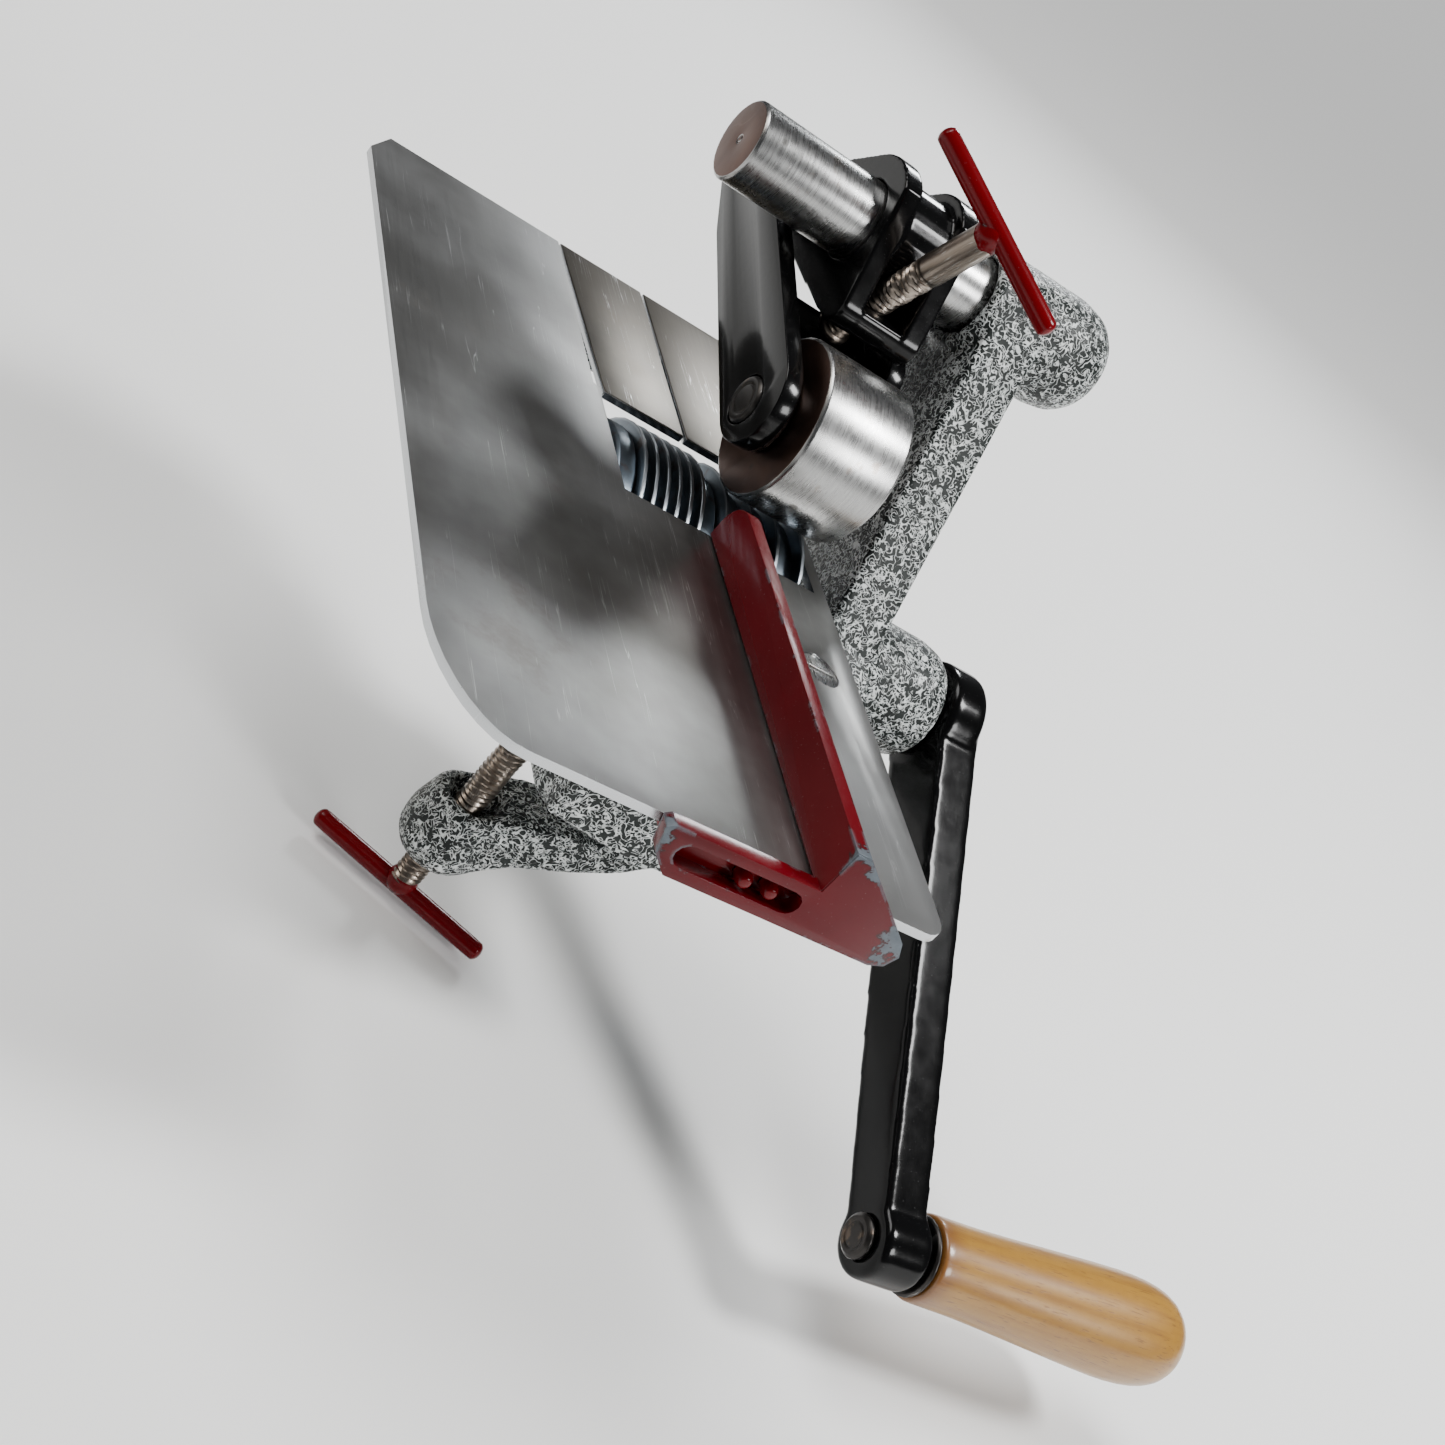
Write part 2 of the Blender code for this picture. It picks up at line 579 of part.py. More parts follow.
def cutter_stack():
    x = CUTTER_X0
    turned("cutter_collar", ring(SHAFT_R + GAP, CUTTER_R - 1.7 * MM, 0, COLLAR_W, 0.5 * MM),
           along_x(x, SHAFT_Y, SHAFT_Z), DARK_STEEL)
    x += COLLAR_W + GAP
    profile, width = comb(FINE_COUNT, FINE_PITCH)
    turned("cutter_fine", profile, along_x(x, SHAFT_Y, SHAFT_Z), DARK_STEEL, 36)
    x += width + GAP
    turned("cutter_ring", ring(SHAFT_R + GAP, CUTTER_R - 2.3 * MM, 0, RING_W, 0.5 * MM),
           along_x(x, SHAFT_Y, SHAFT_Z), DARK_STEEL)
    x += RING_W + GAP
    profile, width = comb(COARSE_COUNT, COARSE_PITCH)
    turned("cutter_coarse", profile, along_x(x, SHAFT_Y, SHAFT_Z), DARK_STEEL, 36)
    x += width + GAP
    turned("shaft_sleeve", ring(SHAFT_R + GAP, SHAFT_R + SLEEVE_WALL, 0, WALL_X0 - GAP - x, 0.5 * MM),
           along_x(x, SHAFT_Y, SHAFT_Z), STEEL, 32)


def crankshaft():
    """Shaft from the screw end under the tray to the crank, with a head that holds the stack."""
    head_x = CUTTER_X0 - GAP
    end = CRANK_X0 + CRANK_T - 0.5 * MM
    start = head_x - 4 * MM
    head_r = SHAFT_R + SHAFT_HEAD_WALL
    profile = [(0, end), (SHAFT_R - 0.6 * MM, end), (SHAFT_R, end - 0.6 * MM), (SHAFT_R, head_x),
               (head_r, head_x), (head_r, start + 1 * MM), (head_r - 1 * MM, start), (0, start)]
    return turned("crankshaft", profile, along_x(0, SHAFT_Y, SHAFT_Z), STEEL, 32)


# ---------------------------------------------------------------- pressure roller
def pressure_roller():
    r, w, lip = ROLLER_R, ROLLER_W, 1.0 * MM
    hub = WASHER_R + 1 * MM
    profile = [(hub, w), (hub, w - lip), (r - 3 * MM, w - lip), (r - 3 * MM, w), (r - 0.5 * MM, w),
               (r, w - 0.5 * MM), (r, 0.5 * MM), (r - 0.5 * MM, 0), (AXLE_R + GAP, 0), (AXLE_R + GAP, w)]
    turned("pressure_roller", profile, along_x(ROLLER_X0, SHAFT_Y, ROLLER_Z), STEEL)
    turned("roller_washer", ring(AXLE_R + GAP, WASHER_R, 0, WASHER_W, 0.3 * MM),
           along_x(ROLLER_X0 - GAP - WASHER_W, SHAFT_Y, ROLLER_Z), STEEL, SMALL)
    head = ROLLER_X1 + GAP
    start = LEFT_ARM_X0 - 0.4 * MM
    turned("roller_axle", [(0, head + AXLE_HEAD_W), (AXLE_HEAD_R - 0.5 * MM, head + AXLE_HEAD_W),
                           (AXLE_HEAD_R, head + AXLE_HEAD_W - 0.5 * MM), (AXLE_HEAD_R, head), (AXLE_R, head),
                           (AXLE_R, start + 0.5 * MM), (AXLE_R - 0.5 * MM, start), (0, start)],
           along_x(0, SHAFT_Y, ROLLER_Z), DARK_STEEL, SMALL)


def arm_outline():
    """Side of the left arm: broad at the roller, narrow at the pivot."""
    middle_y = SHAFT_Y + 0.8 * PIVOT_BACK
    middle_z = ROLLER_Z + 0.82 * PIVOT_RISE
    return hull(circle(SHAFT_Y - 1.0 * MM, ROLLER_Z + 2.0 * MM, ARM_R, 28)
                + circle(middle_y, middle_z, ARM_R - 0.8 * MM, 28)
                + circle(PIVOT_Y, PIVOT_Z, ARM_NECK_R, 28))


def roller_frame():
    """Fork that carries the roller: a long left arm, a web under the yoke and a short right arm."""
    axle_hole = circle(SHAFT_Y, ROLLER_Z, AXLE_R + GAP, SMALL)[::-1]
    pivot_hole = circle(PIVOT_Y, PIVOT_Z, PIVOT_R + GAP, SMALL)[::-1]
    holes = [axle_hole, pivot_hole]
    frame = slab("roller_frame", "YZ", arm_outline(), LEFT_ARM_X0, LEFT_ARM_X1, BLACK, holes)
    origin_at(frame, PIVOT_Y, PIVOT_Z)
    y0 = SHAFT_Y + ROLLER_R + 1.8 * MM
    y1 = y0 + WEB_LEN
    lug = hull(circle(y0 + LUG_R - 2 * MM, web_top_at(y0 + LUG_R) - WEB_T / 2, LUG_R, 24)
               + circle(PIVOT_Y, PIVOT_Z, ARM_NECK_R, 28))
    right = slab("right_arm", "YZ", lug, RIGHT_ARM_X0, RIGHT_ARM_X1, BLACK, [pivot_hole], part=False)
    edge = 1.2 * MM
    outline = [(y0, web_top_at(y0) - WEB_T), (y1, web_top_at(y1) - WEB_T), (y1, web_top_at(y1)),
               (y0 + edge, web_top_at(y0 + edge)), (y0, web_top_at(y0) - edge)]
    web = slab("web", "YZ", outline, LEFT_ARM_X1 - 1 * MM, RIGHT_ARM_X0 + 1 * MM, BLACK, part=False)
    join(frame, right, web)
    return frame


def pivot_pieces():
    """Pin that the fork swings on, and the spacer that keeps the yoke off the long arm."""
    head = 4.2 * MM
    x0 = LEFT_ARM_X0 - GAP
    end = RIGHT_ARM_X1 + 1.5 * MM - x0
    dome = [(PIVOT_HEAD_R * cos(radians(a)), -head * sin(radians(a))) for a in range(0, 76, 15)]
    shank = [(0, end), (PIVOT_R - 0.4 * MM, end), (PIVOT_R, end - 0.4 * MM), (PIVOT_R, 0)]
    turned("pivot_pin", shank + dome + [(0, -head)], along_x(x0, PIVOT_Y, PIVOT_Z), BLACK, SMALL)
    turned("pivot_spacer", ring(PIVOT_R + GAP, ARM_NECK_R - 0.7 * MM, 0, YOKE_X0 - LEFT_ARM_X1 - 2 * GAP),
           along_x(LEFT_ARM_X1 + GAP, PIVOT_Y, PIVOT_Z), BLACK, SMALL)


# ---------------------------------------------------------------- yoke on the rod
def yoke_outline():
    """Side of the yoke: round over the rod, flat in front, reaching back to the pivot."""
    r, flat = ROD_R + YOKE_WALL, ROD_R + YOKE_FLAT
    n = Vector((-cos(radians(26.8)), sin(radians(26.8))))
    down = Vector((-n.y, n.x))
    top = flat * n - sqrt(r * r - flat * flat) * down
    start = atan2(top.y, top.x)
    toe_z = -YOKE_DROP + YOKE_TOE_R
    base = (flat - YOKE_TOE_R) * n
    toe = base + down * ((toe_z - base.y) / down.y)
    dy, dz = PIVOT_Y - ROD_Y, PIVOT_Z - ROD_Z
    pivot_r = ARM_NECK_R - 1.7 * MM
    lean = atan2(dz, dy)
    upper = lean + acos((r - pivot_r) / hypot(dy, dz))
    over_rod = arc(0, 0, r, degrees(start), degrees(upper), 9)
    ends = hull(circle(dy, dz, pivot_r, 28) + circle(toe.x, toe.y, YOKE_TOE_R, 28) + over_rod)
    return [(ROD_Y + y, ROD_Z + z) for y, z in ends], (ROD_Y + toe.x, ROD_Z + toe.y)


def carriage_yoke():
    outline, toe = yoke_outline()
    rod_hole = circle(ROD_Y, ROD_Z, ROD_R + GAP, ROUND)[::-1]
    holes = [rod_hole, circle(PIVOT_Y, PIVOT_Z, PIVOT_R + GAP, SMALL)[::-1]]
    yoke = slab("carriage_yoke", "YZ", outline, YOKE_X0, YOKE_X0 + CHEEK_T, BLACK, holes)
    right = slab("right_cheek", "YZ", outline, YOKE_X1 - CHEEK_T, YOKE_X1, BLACK, holes, part=False)
    low = ROD_Z - YOKE_DROP + 0.4 * MM
    nose = arc(toe[0], toe[1], YOKE_TOE_R - 0.1 * MM, 153, 255, 6)
    side = nose + [(ROD_Y + 6 * MM, low), (ROD_Y + 6 * MM, low + YOKE_SILL_T)]
    x0, x1 = YOKE_X0 + CHEEK_T - 1 * MM, YOKE_X1 - CHEEK_T + 1 * MM
    sill = slab("yoke_sill", "YZ", side, x0, x1, BLACK, part=False)
    sleeve = turned("yoke_sleeve", ring(ROD_R + GAP, YOKE_SLEEVE_R, 0, x1 - x0),
                    along_x(x0, ROD_Y, ROD_Z), BLACK, part=False)
    join(yoke, right, sill, sleeve)
    bore = turned("screw_bore", bar(SCREW_R + GAP, -30 * MM, 30 * MM), along(SCREW_DIR, screw_point(0)),
                  DARK_STEEL, SMALL, part=False)
    cut(yoke, bore)
    return yoke


def pressure_screw():
    """Screw, swivel foot and cross bar that press the roller down."""
    tip = screw_tip_distance() + GAP * 1.3
    axis = along(SCREW_DIR, screw_point(0))
    face = tip + FOOT_H
    profile = [(0, face), (FOOT_R - 0.6 * MM, face), (FOOT_R, face - 0.6 * MM), (FOOT_R, tip + 0.5 * FOOT_R),
               (0.7 * FOOT_R, tip + 0.26 * FOOT_R), (0.35 * FOOT_R, tip + 0.1 * FOOT_R), (0, tip)]
    turned("pressure_foot", profile, axis, STEEL, SMALL)
    low = face + GAP
    top = tip + SCREW_SHANK
    end = top - TBAR_R - GAP
    profile = [(0, end), (SCREW_R, end), (SCREW_R, low + 0.6 * MM), (SCREW_R - 0.6 * MM, low), (0, low)]
    turned("pressure_screw", profile, axis, STEEL, SMALL)
    crossbar("pressure_tbar", screw_point(top), SCREW_DIR, TBAR_SWING, TBAR_LEN)


def crossbar(name, centre, axis, swing, length):
    """Round bar with domed ends across the end of a screw."""
    axis = Vector(axis).normalized()
    direction = Matrix.Rotation(swing, 3, axis) @ Vector((1, 0, 0))
    half, r = length / 2, TBAR_R
    dome = [(r * cos(radians(a)), half - r * 0.7 + r * 0.7 * sin(radians(a))) for a in range(0, 76, 15)]
    profile = [(0, half)] + dome[::-1] + [(p, -h) for p, h in dome] + [(0, -half)]
    return turned(name, profile, along(direction, centre), RED, 20)


# ---------------------------------------------------------------- table clamp
def table_clamp():
    z_low = PAD_TOP - PAD_H
    turned("clamp_pad", [(0, PAD_TOP), (PAD_R - 0.5 * MM, PAD_TOP), (PAD_R, PAD_TOP - 0.5 * MM),
                         (PAD_R, PAD_TOP - 1.8 * MM), (PAD_R - 2 * MM, z_low), (0, z_low)],
           Matrix(), STEEL, 32)
    top = z_low - GAP
    bottom = CLAMP_BAR_Z + TBAR_R + GAP
    turned("clamp_screw", bar(CLAMP_R, bottom, top, 0.5 * MM), Matrix(), STEEL, SMALL)
    crossbar("clamp_tbar", (0, 0, CLAMP_BAR_Z), (0, 0, 1), CLAMP_BAR_SWING, CLAMP_BAR_LEN)


# ---------------------------------------------------------------- crank
def crank_arm():
    """Tapered arm that leans out a little towards the handle."""
    outline = hull(circle(0, 0, CRANK_ARM_R0, 28) + circle(CRANK_LEN, 0, CRANK_ARM_R1, 28))
    arm = slab("crank_arm", "YZ", outline, 0, CRANK_T, BLACK)
    lean = bmesh.new()
    lean.from_mesh(arm.data)
    for vert in lean.verts:
        vert.co.x += CRANK_LEAN * min(1.0, max(0.0, vert.co.y / CRANK_LEN))
    lean.to_mesh(arm.data)
    lean.free()
    shaft_end = Matrix.Translation((CRANK_X0, SHAFT_Y, SHAFT_Z))
    arm.matrix_world = shaft_end @ Matrix.Rotation(CRANK_ANGLE, 4, "X")
    hub = turned("crank_hub", bar(CRANK_HUB_R, 0.1 * MM, CRANK_T - 0.6 * MM, 1.0 * MM),
                 along_x(CRANK_X0, SHAFT_Y, SHAFT_Z), BLACK, 36, part=False)
    tip = turned("crank_tip", bar(CRANK_TIP_R, -0.6 * MM, TIP_T - 0.6 * MM, 0.8 * MM),
                 along_x(TIP_X0, HANDLE_Y, HANDLE_Z), BLACK, 32, part=False)
    join(arm, hub, tip)
    x0, x1 = CRANK_X0 - 5 * MM, TIP_X0 + TIP_T + 5 * MM
    cut(arm, hole_x("crank_bore", SHAFT_R + GAP, x0, x1, SHAFT_Y, SHAFT_Z),
        hole_x("pin_bore", PIN_R + GAP, x0, x1, HANDLE_Y, HANDLE_Z))
    return arm


def handle():
    """Pin, ferrule and wooden grip on the crank's outer end."""
    face = TIP_X0 + TIP_T - 0.6 * MM
    inner = TIP_X0 - 0.6 * MM - GAP
    grip_x = face + FERRULE_T + 2 * GAP
    pin_end = grip_x + GRIP_LEN * 0.8
    shank = [(0, pin_end), (PIN_R - 0.4 * MM, pin_end), (PIN_R, pin_end - 0.4 * MM), (PIN_R, inner)]
    head = [(PIN_HEAD_R, inner), (PIN_HEAD_R, inner - 0.8 * MM), (PIN_HEAD_R - 0.8 * MM, inner - 1.5 * MM),
            (0, inner - 1.5 * MM)]
    turned("handle_pin", shank + head, along_x(0, HANDLE_Y, HANDLE_Z), DARK_STEEL, SMALL)
    turned("grip_ferrule", ring(PIN_R + GAP, FERRULE_R, 0, FERRULE_T, 0.4 * MM),
           along_x(face + GAP, HANDLE_Y, HANDLE_Z), DARK_STEEL, 32)
    outer = [(0.00, 8.2), (0.015, 8.6), (0.12, 8.6), (0.24, 8.8), (0.38, 9.4), (0.54, 10.2), (0.69, 10.8),
             (0.80, 10.9), (0.88, 10.5), (0.94, 9.4), (0.975, 7.4), (0.993, 4.4)]
    profile = [(0, GRIP_LEN)] + [(r * MM, t * GRIP_LEN) for t, r in reversed(outer)]
    depth = pin_end - grip_x + 1.5 * MM
    profile += [(PIN_R + GAP, 0), (PIN_R + GAP, depth), (0, depth)]
    turned("wooden_grip", profile, along_x(grip_x, HANDLE_Y, HANDLE_Z), WOOD)


# ---------------------------------------------------------------- cloth guide
def cloth_guide():
    """Red fence that stands on the tray, with a slotted leg hooked over its front edge."""
    low = TRAY_TOP + GAP
    high = low + FENCE_H
    y_front = TRAY_Y0 - GAP - LEG_T
    r = 6 * MM
    top_back = arc(FENCE_Y1 - r, high - r, r, 90, 0, 6)
    front = y_front + 0.2 * MM
    side = [(front, low + 0.2 * MM), (front, high)] + top_back + [(FENCE_Y1, low + 0.2 * MM)]
    fence = slab("cloth_guide", "YZ", side, FENCE_X0, FENCE_X0 + FENCE_T, RED)
    z0 = TRAY_TOP - LEG_DROP
    x0, x1 = LEG_X0, LEG_X1
    fence_x1 = FENCE_X0 + FENCE_T
    leg = [(x0, low), (x0 + 1.5 * MM, z0 + 3 * MM), (x0 + 5 * MM, z0), (x1 - 3.5 * MM, z0),
           (x1 - 1 * MM, z0 + 1 * MM), (x1, z0 + 3.5 * MM), (x1 - 1.5 * MM, z0 + 6 * MM),
           (fence_x1 + 5 * MM, high - 3.5 * MM), (fence_x1 + 0.5 * MM, high - 0.4 * MM),
           (FENCE_X0 + 0.2 * MM, high - 0.2 * MM), (FENCE_X0 + 0.2 * MM, low + 0.8 * MM),
           (x0 + 1 * MM, low + 0.8 * MM)]
    middle = TRAY_TOP - SLOT_DROP
    half = SLOT_H / 2
    slot = (arc(SLOT_X0 + half, middle, half, 90, 270, 6) + arc(SLOT_X1 - half, middle, half, -90, 90, 6))
    plate = slab("guide_leg", "XZ", leg, y_front, TRAY_Y0 - GAP, RED, [slot[::-1]], part=False)
    join(fence, plate)
    return fence


def guide_mount():
    """Block under the tray's front edge that the guide is screwed to, and its two screws."""
    z = TRAY_TOP - SLOT_DROP - 0.5 * MM
    top = TRAY_UNDER - GAP
    x0, x1 = SLOT_X0 + 1 * MM, SLOT_X1 + 3 * MM
    block = slab("guide_block", "XZ", [(x0, top - 4.5 * MM), (x1, top - 4.5 * MM), (x1, top), (x0, top)],
                 TRAY_Y0 + 0.2 * MM, TRAY_Y0 + 9 * MM, RED)
    depth = 9 * MM
    head = GUIDE_HEAD_R
    for i, x in enumerate(GUIDE_SCREW_X):
        place = along((0, 1, 0), (x, TRAY_Y0 - LEG_T, z))
        hole = bar(GUIDE_SCREW_R + GAP, 0, depth + LEG_T)
        bore = turned(f"guide_bore_{i + 1}", hole, place, STEEL, 16, part=False)
        cut(block, bore)
        profile = [(0, depth), (GUIDE_SCREW_R, depth), (GUIDE_SCREW_R, LEG_T), (head, LEG_T),
                   (head, 1.2 * MM), (0.7 * head, 0.4 * MM), (0, 0.2 * MM)]
        turned(f"guide_screw_{i + 1}", profile, place, RED, SMALL)


def roller_rod():
    length = ROD_X1 - ROD_X0
    profile = [(0, length), (ROD_R - 0.6 * MM, length), (ROD_R, length - 0.6 * MM), (ROD_R, 0.5 * MM),
               (ROD_R - 0.5 * MM, 0), (0, 0)]
    return turned("roller_rod", profile, along_x(ROD_X0, ROD_Y, ROD_Z), STEEL)


def build():
    body_casting()
    roller_rod()
    tray()
    rear_plates()
    tray_screws()
    cutter_stack()
    crankshaft()
    pressure_roller()
    roller_frame()
    pivot_pieces()
    carriage_yoke()
    pressure_screw()
    table_clamp()
    crank_arm()
    handle()
    cloth_guide()
    guide_mount()


build()
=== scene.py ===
# %% [markdown]
# # A hand-cranked cloth strip cutter
#
# This tool clamps to a table. Cloth is laid on its steel tray, pushed along a red
# guide, and pulled between a plain pressure roller and a stack of thin cutter
# discs that the crank turns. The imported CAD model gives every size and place;
# this notebook makes the surfaces that a person would see and touch.
#
# We could paint the CAD solids as they are, but their edges are knife sharp and
# their round faces are flat strips. So each one is copied, its edges are rounded
# and its finish is built from shader nodes.

import json
from math import atan2, pi, radians, sin

import bpy
from mathutils import Matrix, Vector


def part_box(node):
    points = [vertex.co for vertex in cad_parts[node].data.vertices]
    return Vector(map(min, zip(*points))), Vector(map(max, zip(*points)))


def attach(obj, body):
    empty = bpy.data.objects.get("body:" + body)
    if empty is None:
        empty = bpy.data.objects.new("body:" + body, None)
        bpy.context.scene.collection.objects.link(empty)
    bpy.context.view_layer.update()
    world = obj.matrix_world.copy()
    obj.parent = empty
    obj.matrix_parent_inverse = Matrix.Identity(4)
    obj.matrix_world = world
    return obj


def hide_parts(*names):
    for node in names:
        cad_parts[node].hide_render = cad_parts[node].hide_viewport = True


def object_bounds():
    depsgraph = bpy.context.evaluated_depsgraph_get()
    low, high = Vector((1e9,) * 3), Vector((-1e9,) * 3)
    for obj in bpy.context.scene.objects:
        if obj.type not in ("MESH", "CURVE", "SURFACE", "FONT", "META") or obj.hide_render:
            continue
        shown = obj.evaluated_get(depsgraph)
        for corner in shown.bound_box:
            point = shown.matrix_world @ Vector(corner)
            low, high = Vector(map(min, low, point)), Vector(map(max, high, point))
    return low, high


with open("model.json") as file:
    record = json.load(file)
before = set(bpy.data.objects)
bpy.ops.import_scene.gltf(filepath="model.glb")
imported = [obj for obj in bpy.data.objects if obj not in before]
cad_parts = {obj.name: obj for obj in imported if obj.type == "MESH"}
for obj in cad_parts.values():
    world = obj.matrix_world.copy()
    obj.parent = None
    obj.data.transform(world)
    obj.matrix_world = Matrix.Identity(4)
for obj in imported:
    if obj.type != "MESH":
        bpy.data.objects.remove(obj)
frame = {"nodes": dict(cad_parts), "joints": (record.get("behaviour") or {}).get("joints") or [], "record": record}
cad_low, cad_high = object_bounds()
MM = 0.001
print("CAD box in mm:", [round(v / MM, 1) for v in (*cad_low, *cad_high)])

# %% [markdown]
# ## Camera
#
# The camera stands in front, to the left and above, about 40 cm away, and is
# rolled, so that the machine leans across the frame. Its three directions are
# the columns of a matrix, which is exact where three angles would need a
# conversion.

# %% Camera
right = Vector((0.7700, -0.1764, 0.6132))
up = Vector((-0.3823, 0.6418, 0.6648))
back = Vector((-0.5108, -0.7463, 0.4268))
lens = bpy.data.cameras.new("camera")
lens.lens = 53.17
lens.sensor_width = 36
lens.clip_start = 0.01
camera = bpy.data.objects.new("camera", lens)
turn = Matrix((right, up, back)).transposed().to_4x4()
camera.matrix_world = Matrix.Translation((-0.1754, -0.3005, 0.1863)) @ turn
bpy.context.scene.collection.objects.link(camera)
bpy.context.scene.camera = camera

# %% [markdown]
# ## Floor and light
#
# Bright metal shows what surrounds it. A dim room keeps the black enamel black
# and puts dark bands in the steel, and four small lamps draw the highlights. A bar
# along X mirrors only what lies in one slanting plane on the far side of it from
# the camera, so the key and the front lamp hang in that plane, and so does the
# one behind, whose image lies on the tray. A weak fill is on the left. A soft
# skylight keeps the pale floor even, and the floor lies just under the clamp. Its
# far rim, 40 m away, is raised a little, so that no horizon shows in a corner.

# %% Floor
FLOOR_SIZE = 80
RIM_RISE = 1
bpy.ops.object.select_all(action="DESELECT")
bpy.ops.mesh.primitive_grid_add(x_subdivisions=4, y_subdivisions=4, size=FLOOR_SIZE,
                                location=(0, 0, cad_low.z - 2 * MM))
floor = bpy.context.active_object
floor.name = "floor"
bpy.ops.object.mode_set(mode="EDIT")
bpy.ops.mesh.select_mode(type="VERT")
bpy.ops.mesh.select_all(action="DESELECT")
bpy.ops.mesh.select_non_manifold()
bpy.ops.transform.translate(value=(0, 0, RIM_RISE))
bpy.ops.object.mode_set(mode="OBJECT")

# %% Lamps
target = Vector((0.01, 0.0, 0.045))


def lamp(name, place, width, energy, colour=(1, 1, 1)):
    data = bpy.data.lights.new(name, "AREA")
    data.shape = "RECTANGLE"
    data.size = width
    data.size_y = width
    data.energy = energy
    data.color = colour
    obj = bpy.data.objects.new(name, data)
    obj.location = place
    obj.rotation_euler = (target - Vector(place)).to_track_quat("-Z", "Y").to_euler()
    bpy.context.scene.collection.objects.link(obj)


lamp("key", (0.64, -0.25, 1.09), 0.28, 15)
lamp("window", (0.57, 0.98, 0.59), 0.20, 5, colour=(0.95, 0.98, 1.0))
lamp("front", (0.58, -0.84, 0.48), 0.26, 6)
lamp("fill", (-1.1, 0.5, 0.9), 0.5, 4, colour=(1.0, 0.92, 0.82))
sky = bpy.data.lights.new("skylight", "SUN")
sky.energy = 2.6
sky.angle = radians(35)
skylight = bpy.data.objects.new("skylight", sky)
skylight.rotation_euler = (radians(-14), radians(-24), 0)
bpy.context.scene.collection.objects.link(skylight)
room = bpy.data.worlds.new("room")
room.use_nodes = True
room.node_tree.nodes["Background"].inputs["Color"].default_value = (0.70, 0.72, 0.76, 1)
room.node_tree.nodes["Background"].inputs["Strength"].default_value = 0.12
bpy.context.scene.world = room

# %% [markdown]
# ## Who rides on what
#
# The record lists the bodies and the finish of every part, so two small tables
# are enough to look both up by the part's name.

# %% Bodies and finishes by part
body_of_part = {}
for body, parts in frame["record"]["behaviour"]["bodies"].items():
    for part in parts:
        body_of_part[part] = body
slot_of_part = {}
for entry in frame["record"]["subparts"]:
    slot_of_part[entry["node"]] = entry["material_slot"]


def middle(part):
    """Centre of a CAD part's box."""
    low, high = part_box(part)
    return (low + high) / 2


# %% [markdown]
# ## Helpers for modelling
#
# Operators work on whatever is selected, so the first helper makes one object
# the only one selected. The second takes a clean copy of a CAD part: its loose
# triangles are merged, and flat faces become single faces again, because a bevel
# needs whole edges to follow.

# %% Select one object
def only(obj):
    if bpy.context.mode != "OBJECT":
        bpy.ops.object.mode_set(mode="OBJECT")
    bpy.ops.object.select_all(action="DESELECT")
    obj.select_set(True)
    bpy.context.view_layer.objects.active = obj


# %% Copy a CAD part
def take(part):
    source = frame["nodes"][part]
    copy = bpy.data.objects.new(part + "_made", source.data.copy())
    bpy.context.scene.collection.objects.link(copy)
    copy.data.materials.clear()
    only(copy)
    bpy.ops.mesh.customdata_custom_splitnormals_clear()
    bpy.ops.object.mode_set(mode="EDIT")
    bpy.ops.mesh.select_all(action="SELECT")
    bpy.ops.mesh.remove_doubles(threshold=0.002 * MM)
    bpy.ops.mesh.dissolve_limited(angle_limit=radians(0.6))
    bpy.ops.object.mode_set(mode="OBJECT")
    return copy


# %% [markdown]
# A modifier is applied as soon as it is set up, so that the finished piece holds
# plain geometry and nothing is left to go wrong later.

# %% Add and apply a modifier
def apply_modifier(obj, kind, **settings):
    only(obj)
    modifier = obj.modifiers.new(kind.lower(), kind)
    for key, value in settings.items():
        setattr(modifier, key, value)
    bpy.ops.object.modifier_apply(modifier=modifier.name)


def smooth(obj, angle=38):
    only(obj)
    bpy.ops.object.shade_smooth_by_angle(angle=radians(angle))


def round_edges(obj, width, segments=3, angle=38):
    """Rounds every edge that turns by more than the angle."""
    apply_modifier(obj, "BEVEL", width=width, segments=segments, limit_method="ANGLE",
                   angle_limit=radians(angle), use_clamp_overlap=True)
    smooth(obj)


# %% [markdown]
# A cast part has no sharp corner anywhere, inside or out. Rounding its edges one
# by one fails where many shapes meet, so the copy is rebuilt on a fine grid of
# voxels and then relaxed. The relaxing melts the joins into fillets.

# %% Melt a part into a casting
def melt(obj, voxel, turns):
    apply_modifier(obj, "REMESH", mode="VOXEL", voxel_size=voxel)
    apply_modifier(obj, "SMOOTH", factor=0.5, iterations=turns)
    smooth(obj, 80)


# %% [markdown]
# Faces are picked in code by where they lie. The test gets each face's centre
# and normal, so a rule such as "on the left end" is one short line.

# %% Pick faces and go on in edit mode
def edit_faces(obj, test):
    only(obj)
    bpy.ops.object.mode_set(mode="EDIT")
    bpy.ops.mesh.select_mode(type="FACE")
    bpy.ops.mesh.select_all(action="DESELECT")
    bpy.ops.object.mode_set(mode="OBJECT")
    for face in obj.data.polygons:
        face.select = test(face.center, face.normal)
    picked = sum(face.select for face in obj.data.polygons)
    bpy.ops.object.mode_set(mode="EDIT")
    return picked


# %% Hand a piece over to the frame
def hand_over(obj, part, material):
    obj.data.materials.clear()
    obj.data.materials.append(material)
    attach(obj, body_of_part[part])
    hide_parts(part)
    print(obj.name, len(obj.data.polygons), "faces, on", body_of_part[part])


# %% [markdown]
# ## Shader maths as plain sums
#
# A finish is easier to read as a formula than as a web of nodes. `Signal` wraps
# an output socket, and its operators add Math nodes. `Finish` holds a material,
# and its `node` method makes any other node.

